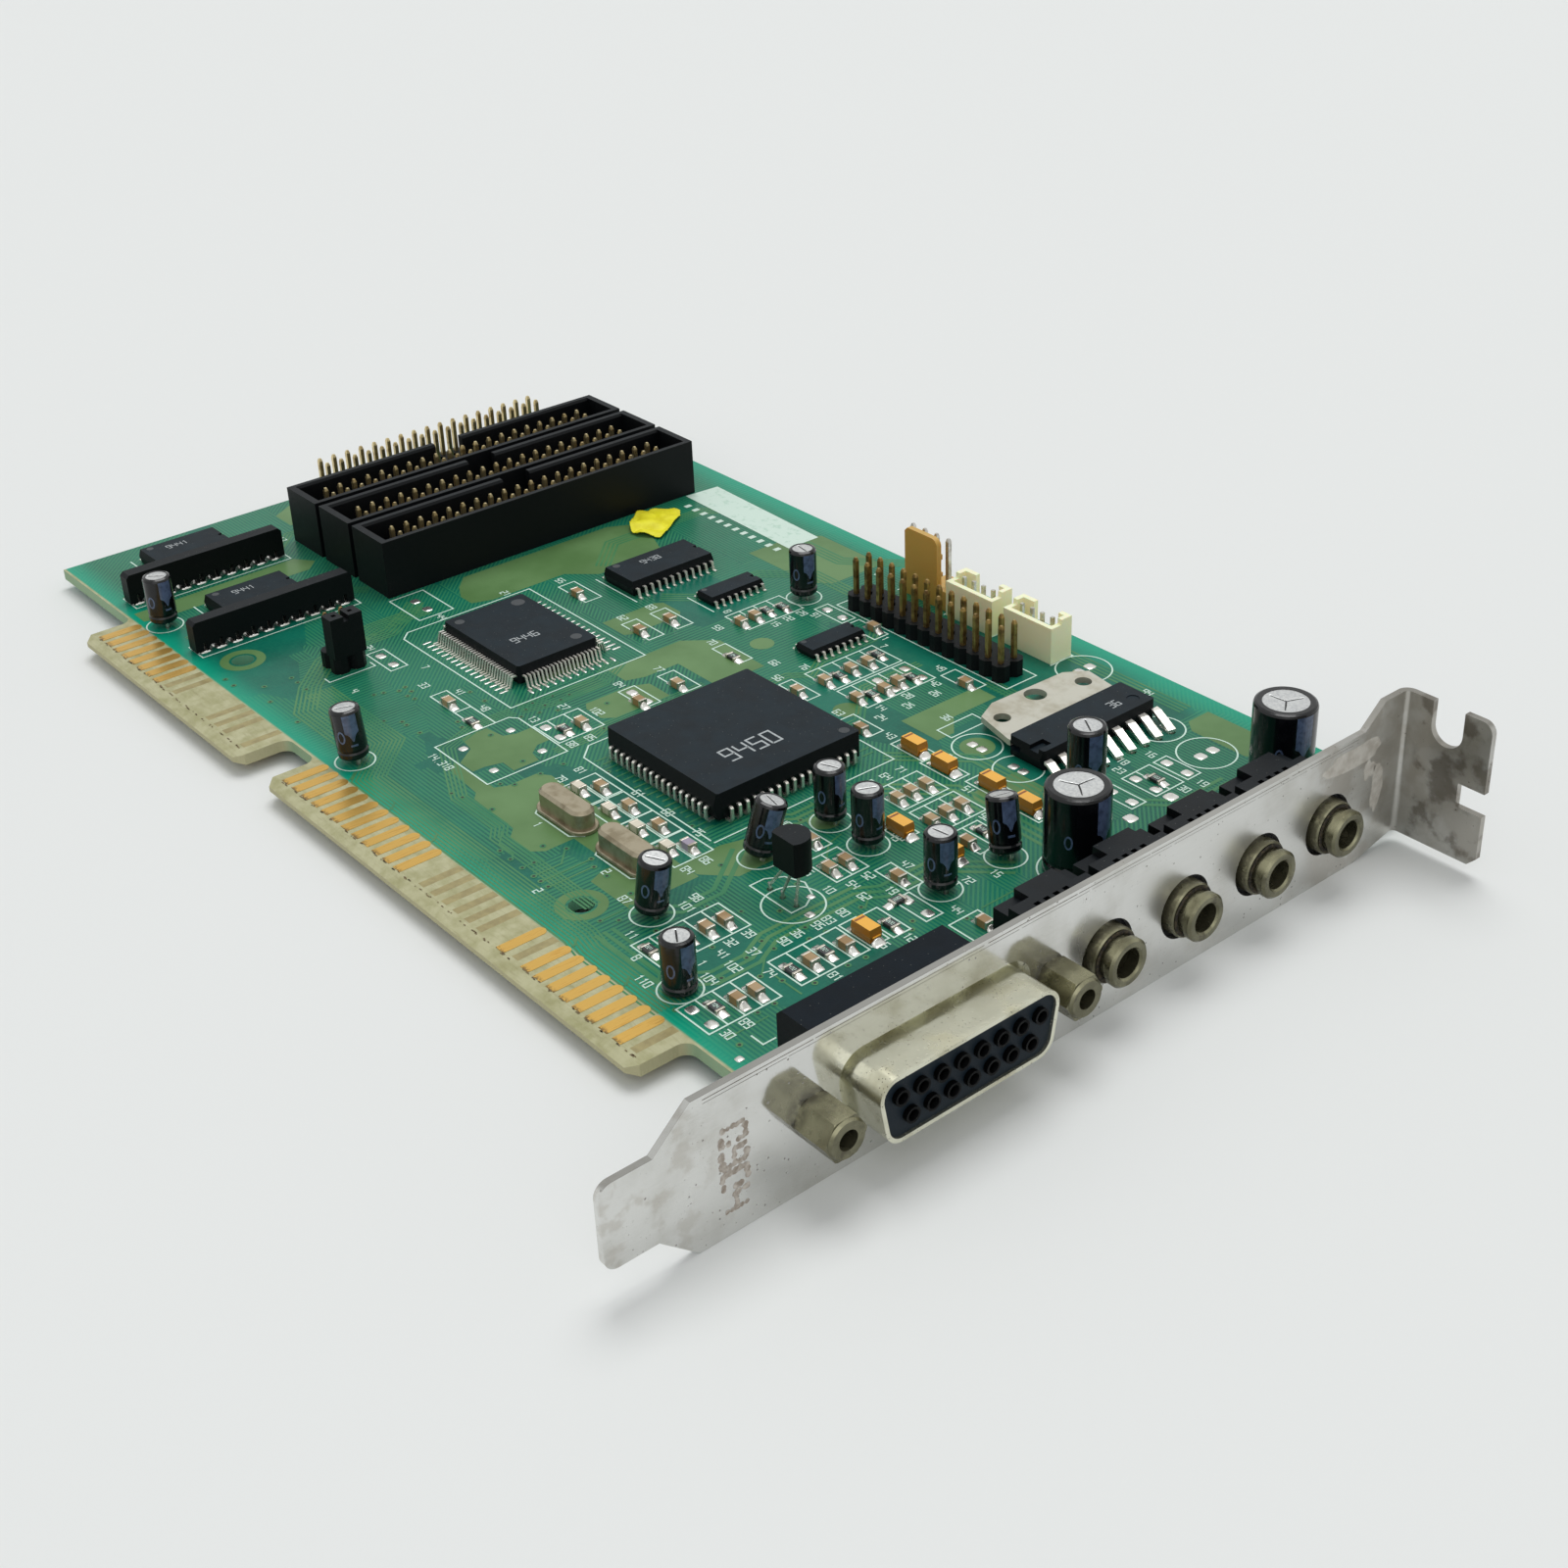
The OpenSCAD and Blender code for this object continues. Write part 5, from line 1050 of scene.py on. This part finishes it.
def pillow(bm, x, y, a, b, tall):
    """A low dome with a rounded-square plan, a and b its half sizes."""
    rings = []
    for k in range(5):
        lean = k / 4 * math.pi / 2
        r = math.cos(lean) * 0.999 + 0.001
        ring = []
        for i in range(20):
            c, s = math.cos(2 * math.pi * i / 20), math.sin(2 * math.pi * i / 20)
            u = math.copysign(abs(c) ** 0.6, c) * a * r
            v = math.copysign(abs(s) ** 0.6, s) * b * r
            ring.append(bm.verts.new(at(x + u, y + v, FACE + 0.012 + tall * math.sin(lean))))
        rings.append(ring)
    join_rows(bm, rings)
    bm.faces.new(rings[-1])


def pads(bm):
    for x, y, a, b in PADS:
        pillow(bm, x, y, a, b, 0.12 * min(1, a * 2))
    for points in shells("resistor_pack_pins") + shells("jumper_pins"):
        pillow(bm, *centre(points), 1.22, 1.0, 0.4)


piece("empty_pads", solder, pads, smooth=True)

# %% [markdown]
# ## Solder on the underside
# Every pin that goes through the board ends in a small bright cone on the far side, with
# the pin's tip standing out of it. The pins are read back from the CAD, so each cone sits
# on its own pin. A cone is spun from a short profile that curves in, as wet solder does.

# %% Cones round every pin end


def spin(bm, x, y, profile, n=14):
    """Turns a profile of radius and height round an upright axis at x, y."""
    rings = [[bm.verts.new(at(u, v, z)) for u, v in circle(x, y, r, n)] for r, z in profile]
    join_rows(bm, rings)
    bm.faces.new(rings[0][::-1])
    bm.faces.new(rings[-1])


THROUGH = ["box_header_pins", "rear_header_pins", "side_header_pins", "jumper_pins",
           "latch_header_pins", "wafer_pins", "resistor_pack_pins", "can_leads",
           "amplifier_leads", "jack_contacts", "socket_contacts"]


def cones(bm):
    for name in THROUGH:
        for points in shells(name):
            tip = points[points[:, 2] < UNDER - 0.4]
            if not len(tip):
                continue
            wide = 0.92 if name != "socket_contacts" else 1.05
            wide *= rng.uniform(0.93, 1.05)
            spin(bm, *centre(tip), [(wide, UNDER - 0.01), (wide * 0.82, UNDER - 0.16),
                                    (0.5, UNDER - 0.42), (0.33, UNDER - 0.72),
                                    (0.22, UNDER - 0.82)])


piece("solder_cones", solder, cones, smooth=True)

# %% Tracks of the lower face


def under_tracks(bm):
    for _ in range(26):
        x, y = rng.uniform(-170, -24), rng.uniform(8, 88)
        count = rng.randint(2, 6)
        run, rise = rng.uniform(12, 40), rng.choice((-1, 1)) * rng.uniform(3, 10)
        path = [(x, y), (x + run / 2, y), (x + run / 2 + abs(rise), y + rise),
                (min(-8, x + run + abs(rise)), y + rise)]
        for i in range(count):
            stroke(bm, beside(path, i * 0.62), 0.3, UNDER - 0.012)
    first, count = TABS[0]
    for i in range(count):
        x, up = first - i * PITCH, 3 + i * 7 % 5
        stroke(bm, [(x, 0.1), (x, up), (x - 3, up + 3)], 0.35, UNDER - 0.012)


piece("underside_tracks", track_mat, under_tracks)

# %% [markdown]
# ## Tops and stripes of the cans
# An electrolytic can is an aluminium cup in a shrunk black sleeve. The cup's top stays
# bare, with three or two pressed grooves where it may vent, and the sleeve carries a pale
# stripe of arrow shape towards the minus lead. Some cans lean, so each top is built on
# the can's own axis, taken from its CAD points by the direction in which they spread most.

# %% Axis of each can
alu_mat = two_tone("can_top", (3, 3), (0.3, 0.8), hue(208, 209, 208), hue(176, 178, 180), 0.36,
                   0.85, (3, 3), 0.012)
stripe_mat = two_tone("sleeve_stripe", (1.5, 4), (0.35, 0.8), hue(84, 100, 132),
                      hue(52, 64, 90), 0.28, relief=(2, 2), Coat_Weight=0.15,
                      Coat_Roughness=0.1)


def can_axes(name):
    """Middle of the top, axis, height and radius of each can, in card millimetres."""
    found = []
    for points in shells(name):
        spread = points - points.mean(0)
        axis = np.linalg.svd(spread, full_matrices=False)[2][0]
        axis = axis * math.copysign(1, axis[2])
        along = spread @ axis
        side = np.linalg.norm(spread - np.outer(along, axis), axis=1)
        top = points.mean(0) + axis * along.max()
        found.append((Vector(top), Vector(axis), along.max() - along.min(), side.max()))
    return found


CANS = can_axes("small_cans") + can_axes("large_cans")
for top, axis, tall, r in CANS:
    print("can at", [round(v, 1) for v in top], "tall", round(tall, 1), "r", round(r, 2),
          "lean", round(math.degrees(axis.angle((0, 0, 1))), 1))


def on_can(can, deg, down, out):
    """The point out mm from the can's axis in direction deg, down mm below its top."""
    top, axis, _, _ = can
    first = (Vector((1, 0, 0)) - axis * axis.x).normalized()
    second = axis.cross(first)
    w = math.radians(deg)
    return at(*(top - axis * down + (first * math.cos(w) + second * math.sin(w)) * out))


# %% Grooved tops


def groove(rho, w, start, arms):
    """Distance of a point from the nearest groove: three rays, or one line right across."""
    near = 9
    for a in range(arms):
        turn = w - start - a * 2 * math.pi / arms
        if arms == 2 or math.cos(turn) > 0:
            near = min(near, abs(rho * math.sin(turn)))
    return near


def can_tops(bm):
    for can in CANS:
        r = can[3]
        arms = 3 if r > 3 else 2
        start = rng.uniform(0, math.pi)
        rings = []
        for k in range(15):
            rho = 0.73 * r * k / 14
            ring = []
            for i in range(60):
                cut = groove(rho, 2 * math.pi * i / 60, start, arms)
                deep = 0.06 * max(0, 1 - cut / 0.18) * (rho < 0.62 * r)
                sunk = 0.1 + deep - 0.03 * (rho / r) ** 2
                ring.append(bm.verts.new(on_can(can, 6 * i, sunk, rho)))
            rings.append(ring)
        join_rows(bm, rings)
        bmesh.ops.remove_doubles(bm, verts=rings[0], dist=1e-7)


piece("can_tops", alu_mat, can_tops)

# %% Stripes and signs on the sleeves
LIFT = 0.02


def wrap(bm, can, face, rows):
    """Lays a strip onto a can's wall; a row is its left and right in degrees, and mm down."""
    r = can[3] + LIFT
    for (a0, a1, d0), (b0, b1, d1) in zip(rows, rows[1:]):
        for k in range(6):
            s0, s1 = k / 6, (k + 1) / 6
            quad = [(a0 + (a1 - a0) * s0, d0), (b0 + (b1 - b0) * s0, d1),
                    (b0 + (b1 - b0) * s1, d1), (a0 + (a1 - a0) * s1, d0)]
            bm.faces.new([bm.verts.new(on_can(can, face + deg, down, r)) for deg, down in quad])


def stripes(bm):
    for can in CANS:
        tall, r = can[2:]
        half = math.degrees((0.95 if r < 3 else 1.25) / r)
        face = -6 + rng.uniform(-14, 14)
        body, bar = tall * 0.42, tall * 0.66
        wrap(bm, can, face, [(-half, half, 0.45), (-half, half, body), (-1, 1, body + 1.3)])
        wrap(bm, can, face, [(-half / 2, half / 2, bar), (-half / 2, half / 2, bar + 0.3)])


def marks(bm):
    """A plain oval ring on each sleeve."""
    for can in CANS:
        tall, r = can[2:]
        face = -66 + rng.uniform(-10, 10)
        outer = [(math.degrees(u / r), v) for u, v in circle(0, 0, 1, 16)]
        rings = [[bm.verts.new(on_can(can, face + u * wide, tall * 0.5 + v * high, r + LIFT))
                  for u, v in outer] for wide, high in ((0.55, 0.95), (0.33, 0.684))]
        join_rows(bm, rings)


piece("can_stripes", stripe_mat, stripes)
piece("can_marks", stripe_mat, marks)

# %% [markdown]
# ## Paper label
# A small yellow label is stuck across the corner of a header and has curled up from the
# board. A flat patch would look like paint, so a fine grid is cut to the label's outline
# and pushed up and down by noise.

# %% Crumpled label
paper_mat = two_tone("yellow_paper", (0.5, 4), (0.35, 0.7), hue(240, 234, 30),
                     hue(222, 212, 16), 0.6, relief=(0.5, 4), deep=0.03)
LABEL = [(-139.9, 77.4), (-139.3, 79.9), (-138.2, 81.7), (-136.9, 82.7), (-135.6, 82.8),
         (-134.4, 81.9), (-132.9, 79.5), (-131.0, 76.8), (-129.9, 74.9), (-130.0, 74.2),
         (-131.0, 73.9), (-132.3, 73.3), (-133.3, 72.5), (-134.6, 72.3), (-136.2, 73.2),
         (-138.4, 75.0)]


def inside(x, y, outline):
    """True if a line from the point to the right crosses the outline an odd number of times."""
    odd = False
    for (ax, ay), (bx, by) in zip(outline, outline[1:] + outline[:1]):
        if (ay > y) != (by > y) and x < ax + (y - ay) * (bx - ax) / (by - ay):
            odd = not odd
    return odd


def label(bm):
    step, left, low = 0.14, -140.4, 71.6
    made = {}

    def corner(i, j):
        if (i, j) not in made:
            x, y = left + i * step, low + j * step
            bend = noise.noise(Vector((x * 0.24, y * 0.24, 3.1)))
            fine = noise.noise(Vector((x * 1.1, y * 1.1, 8.4)))
            z = FACE + 0.35 + 1.6 * abs(bend) + 0.07 * fine
            made[(i, j)] = bm.verts.new(at(x, y, max(FACE + 0.06, z)))
        return made[(i, j)]

    for i in range(82):
        for j in range(84):
            if inside(left + (i + 0.5) * step, low + (j + 0.5) * step, LABEL):
                square = ((i, j), (i + 1, j), (i + 1, j + 1), (i, j + 1))
                bm.faces.new([corner(*spot) for spot in square])


curl = piece("yellow_label", paper_mat, label, smooth=True)
thick = curl.modifiers.new("paper", "SOLIDIFY")
thick.thickness = 0.08 * MM

# %% [markdown]
# ## Small marks
# Chips have a round dent by their first lead and, on large ones, pin marks from the mould.
# The amber capacitors carry a brown bar at their plus end. The round gaps at the jacks are
# full of black dirt and painted shade, and bare laminate shows the shadows of the contacts on
# its far side.

# %% Dents of the mould
dent_mat = two_tone("mould_dent", (3, 2), (0.3, 0.7), hue(34, 40, 45), hue(42, 49, 54), 0.28,
                    relief=(2, 2))
# X, Y, height of the chip's top above the board, radius.
DENTS = [(-106.2, 42.2, 2.95, 0.8), (-121.2, 42.2, 2.95, 1.0), (-121.6, 32.4, 2.95, 0.7),
         (-57.5, 50.8, 4.4, 0.7), (-122.1, 60.6, 2.5, 0.55), (-107.8, 66.4, 1.6, 0.4),
         (-84.5, 66.4, 1.6, 0.4), (-155.8, 11, 2.5, 0.5), (-178, 11, 2.5, 0.5)]


def dents(bm):
    for x, y, top, r in DENTS:
        plate(bm, circle(x, y, r, 32), FACE + top + 0.006)
        stroke(bm, circle(x, y, r, 32), 0.07, FACE + top + 0.012, closed=True)


piece("mould_dents", dent_mat, dents)

# %% Plain numbers on the chips
print_mat = two_tone("chip_print", (2, 3), (0.4, 0.8), hue(176, 182, 184), hue(128, 136, 140), 0.5)
# Number, X, Y, its height above the board, height of the digits, width of the pen.
CHIP_NUMBERS = [
    ("9450", -61.2, 35.2, 4.412, 3.0, 0.1), ("9446", -110.3, 34.6, 2.962, 1.5, 0.12),
    ("9438", -119.9, 64.2, 2.512, 1.2, 0.12), ("9441", -153.8, 13.2, 2.512, 1.2, 0.12),
    ("9441", -176, 13.2, 2.512, 1.2, 0.12), ("36", -39.4, 82.4, 2.962, 1.4, 0.12),
]


def chip_numbers(bm):
    for text, x, y, top, tall, pen in CHIP_NUMBERS:
        digits(bm, text, x, y, tall, FACE + top, 90, pen)


piece("chip_numbers", print_mat, chip_numbers)

# %% Bars on the amber capacitors
bar_mat = two_tone("polarity_bar", (2, 3), (0.3, 0.7), hue(150, 84, 30), hue(120, 66, 24), 0.4)


def bars(bm):
    for low, high in amber_chips:
        x, y = low[0] + 0.62, (low[1] + high[1]) / 2
        plate(bm, corners(x, y - 0.76, x + 0.34, y + 0.76), high[2] + 0.008)


piece("polarity_bars", bar_mat, bars)

# %% Dirt and painted shade in the gaps of the jacks
dirt_and_shade_mat = two_tone("black_dirt_and_shade", (2.2, 5), (0.4, 0.65), hue(24, 20, 14), hue(72, 62, 42), 0.8,
                    relief=(3, 4), deep=0.1)


# Y of the lowest jack, the step to the next, and the axis above the board.
JACK_LOW, JACK_STEP, JACK_AXIS = 39.2, 12.7, 5.0


# Black dirt and painted shade: a dark ring in the recess round each sleeve, by the collar.
def jack_dirt_and_shade(bm):
    for k in range(4):
        y, z = JACK_LOW + JACK_STEP * k, FACE + JACK_AXIS
        rows = []
        for j in range(4):
            row = []
            for i in range(48):
                c, s = math.cos(2 * math.pi * i / 48), math.sin(2 * math.pi * i / 48)
                rough = noise.noise(Vector((c * 2 + k * 5, s * 2, j * 0.7)))
                r = 2.62 + (0.55 + 0.1 * rough) * j / 3
                x = 1.22 + (0.2 + 0.22 * rough) * math.sin(math.pi * (j + 0.4) / 3.8)
                row.append(bm.verts.new(at(max(1.2, x), y + r * c, z + r * s)))
            rows.append(row)
        join_rows(bm, rows)


piece("jack_dirt_and_shade", dirt_and_shade_mat, jack_dirt_and_shade, smooth=True)

# %% Shadows of the lower contacts, and burnt tips
shade_mat = two_tone("contact_shadow", (0.8, 3), (0.3, 0.7), hue(160, 148, 98),
                     hue(140, 128, 82), 0.5, relief=(3, 2), Coat_Weight=0.2)
char_mat = two_tone("burnt_tip", (2.5, 4), (0.35, 0.7), hue(84, 66, 40), hue(130, 112, 74), 0.7,
                    relief=(4, 3), deep=0.03)
# Contacts that the upper face lacks, counted from the first one of each tab.
LACKING = ((0, 2, 9, 12, 13, 14, 15, 16, 17), (0, 2, 3, 4, 8, 9))


def shadows(bm):
    for (first, _), lacking in zip(TABS, LACKING):
        for i in lacking:
            x = first - i * PITCH
            plate(bm, corners(x - 0.62, -5.9, x + 0.62, -0.2), FACE + 0.004)


def burnt_tips(bm):
    for first, count in TABS:
        for i in range(count):
            for _ in range(rng.randint(2, 4)):
                x = first - i * PITCH + rng.uniform(-0.85, 0.6)
                y = -6.32 - rng.uniform(0, 0.22)
                long = rng.uniform(0.2, 0.75)
                plate(bm, [(x, y - 0.08), (x + long, y - 0.05), (x + long * 0.9, y + 0.06),
                           (x + 0.08, y + 0.09)], FACE + 0.055)


piece("contact_shadows", shade_mat, shadows)
piece("burnt_tips", char_mat, burnt_tips)

# %% [markdown]
# ## Fine lines on the bracket
# Just below the sheet's upper edge run two fine dark lines. They are long slivers laid on
# the face, a few hundredths of a millimetre proud.

# %% Dark lines below the upper edge
line_mat = two_tone("dark_edge_line", (1.2, 4, (1, 0.4, 1)), (0.3, 0.7), hue(84, 78, 68),
                    hue(140, 134, 124), 0.5, 0.4)


def on_bracket(bm, outline, proud):
    """One flat face from Y and Z, a hair proud of the bracket's outer side."""
    bm.faces.new([bm.verts.new(at(proud, y, z)) for y, z in outline])


def dark_edge_lines(bm):
    last = 82
    for z, wide in ((17.92, 0.1), (17.5, 0.05)):
        y = -16.0
        while y < last:
            end = min(last, y + rng.uniform(6, 14))
            half = wide / 2 * rng.uniform(0.7, 1.2)
            on_bracket(bm, corners(y, z - half * 0.4, end, z + half), 0.012)
            y = end + rng.uniform(0, 0.6)


piece("dark_edge_lines", line_mat, dark_edge_lines)

# %% [markdown]
# ## A worn stamp and dried glue
# Low on the bracket a plain number was stamped in brown ink and has half rubbed off, and a
# grey smear of dried glue sits above the last jack. Both are thin films. The number is cut
# into short flakes with gaps left at random, which is how ink wears off smooth steel.

# %% Flaked number and smear
stamp_mat = two_tone("brown_stamp", (1.3, 4), (0.35, 0.7), hue(152, 140, 128),
                     hue(200, 193, 184), 0.6, 0.3, (3, 3), 0.02)
glue_mat = two_tone("dried_glue", (0.6, 4), (0.35, 0.7), hue(210, 206, 198), hue(184, 178, 168),
                    0.55, 0.5, (1.4, 4), 0.06)


def flake(bm, y, z, proud):
    """One eight-sided flake of ink with an uneven rim."""
    r = rng.uniform(0.3, 0.5)
    rim = [math.pi * n / 4 for n in range(8)]
    on_bracket(bm, [(y + r * math.cos(w) * rng.uniform(0.7, 1.1),
                     z + r * math.sin(w) * rng.uniform(0.7, 1.1)) for w in rim], proud)


# Where the number starts, its step from digit to digit, and the scale of a digit's box.
STAMP_Y, STAMP_Z, STAMP_STEP, STAMP_TALL, STAMP_WIDE = -14.2, 13.0, 2.7, 0.75, 0.95
# Part of the flakes that have come off.
RUBBED_OFF = 0.22


def flaked_number(bm):
    for i, mark in enumerate("0904"):
        for line in DIGITS[mark]:
            spots = [(line[k], line[k + 1]) for k in range(0, len(line), 2)]
            for (a, b), (c, d) in zip(spots, spots[1:]):
                for k in range(5):
                    if rng.random() < RUBBED_OFF:
                        continue
                    u, v = a + (c - a) * (k + 0.5) / 5, b + (d - b) * (k + 0.5) / 5
                    y = STAMP_Y + v * STAMP_TALL + rng.uniform(-0.05, 0.05)
                    z = STAMP_Z - i * STAMP_STEP - u * STAMP_WIDE + rng.uniform(-0.05, 0.05)
                    flake(bm, y, z, 0.008 + 0.0006 * k)


# Middle Y and Z of each blob of glue, its half sizes, and the start of its uneven rim.
BLOBS = ((81.5, 15.6, 5.6, 1.5, 1), (86.5, 9.5, 1.2, 3.2, 5), (84.6, 12.6, 1.0, 1.4, 9))


def smear(bm):
    for cy, cz, ry, rz, seed in BLOBS:
        ring = []
        for u, v in circle(0, 0, 1, 48):
            r = 1 + 0.45 * noise.noise(Vector((u * 1.6, v * 1.6, seed)))
            ring.append((cy + ry * r * u, min(17.2, cz + rz * r * v)))
        on_bracket(bm, ring, 0.006)


piece("flaked_number", stamp_mat, flaked_number)
piece("glue_smear", glue_mat, smear)

# %% [markdown]
# ## Table, light and camera
# The card lies on white paper near a wide window. The paper is a plain pale floor that
# keeps the shadow. The world lights the card as an even grey, but the camera and every
# mirror see a paler wall in its place. An area lamp would leave the far floor dark, so the
# window is a very soft sun lamp from above and behind, with a weak one in front. The camera
# was solved from the card's known pitches.

# %% Floor
floor_mat = bpy.data.materials.new("white_paper")
floor_mat.use_nodes = True
floor_shader = floor_mat.node_tree.nodes["Principled BSDF"]
floor_shader.inputs["Base Color"].default_value = hue(229, 231, 230)
floor_shader.inputs["Roughness"].default_value = 0.85
mesh = bpy.data.meshes.new("floor")
bm = bmesh.new()
bm.faces.new([bm.verts.new((x, y, -0.00002)) for x, y in corners(-60, -60, 60, 60)])
bm.to_mesh(mesh)
bm.free()
mesh.materials.append(floor_mat)
floor = bpy.data.objects.new("floor", mesh)
bpy.context.scene.collection.objects.link(floor)
floor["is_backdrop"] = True

print("floor across, m:", floor.dimensions.x)

# %% World and lamps
world = bpy.context.scene.world or bpy.data.worlds.new("studio")
bpy.context.scene.world = world
world.use_nodes = True
tree = world.node_tree
tree.nodes["Background"].inputs["Color"].default_value = (0.83, 0.84, 0.84, 1)
tree.nodes["Background"].inputs["Strength"].default_value = 0.62
sky = Wire(tree, tree.nodes["Background"].outputs[0])
wall = sky.node("ShaderNodeBackground", {}, {"Color": hue(228, 230, 229)})
seen, mirrored, through = (sky.node("ShaderNodeLightPath", {}, {}, f"Is {ray} Ray")
                           for ray in ("Camera", "Glossy", "Transmission"))
pale = seen.higher(mirrored).higher(through)
either = sky.node("ShaderNodeMixShader", {}, {0: pale, 1: sky, 2: wall})
tree.links.new(either.socket, tree.nodes["World Output"].inputs["Surface"])


def far_lamp(name, way, angle, strength):
    """A distant soft lamp, so that the whole floor gets the same light."""
    data = bpy.data.lights.new(name, "SUN")
    data.angle = angle
    data.energy = strength
    made = bpy.data.objects.new(name, data)
    bpy.context.scene.collection.objects.link(made)
    made.rotation_mode = "QUATERNION"
    made.rotation_quaternion = Vector(way).to_track_quat("Z", "Y")


far_lamp("window", (-0.3, 0.42, 1.5), 0.62, 1.35)
far_lamp("fill", (0.9, -0.7, 0.9), 0.9, 0.35)

# %% Camera
camera_data = bpy.data.cameras.new("camera")
camera_data.sensor_width = 36
camera_data.lens = 50.256
camera_data.shift_x = -0.0473
camera_data.shift_y = -0.0585
camera_data.clip_start = 0.01
camera = bpy.data.objects.new("camera", camera_data)
bpy.context.scene.collection.objects.link(camera)
# Where the lens stands, in metres, where it looks, and which way is up in the picture.
EYE = Vector((0.21847, -0.14333, 0.14847))
AHEAD = Vector((-0.66672, 0.56993, -0.48027)).normalized()
UP = Vector((-0.35009, 0.32939, 0.87689))
right = AHEAD.cross(UP).normalized()
turn = Matrix((right, right.cross(AHEAD), -AHEAD)).transposed().to_4x4()
camera.matrix_world = Matrix.Translation(EYE) @ turn
bpy.context.scene.camera = camera
bpy.context.scene.view_settings.view_transform = "Standard"
print("camera lens:", round(camera_data.lens, 1), "mm")

# %% [markdown]
# ## Size
# The box of everything shown is measured again, and its growth past the CAD's own box printed.

# %% Sizes
low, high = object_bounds()
print("grown by mm:", [round(v / MM, 3) for v in (*(cad_low - low), *(high - cad_high))])
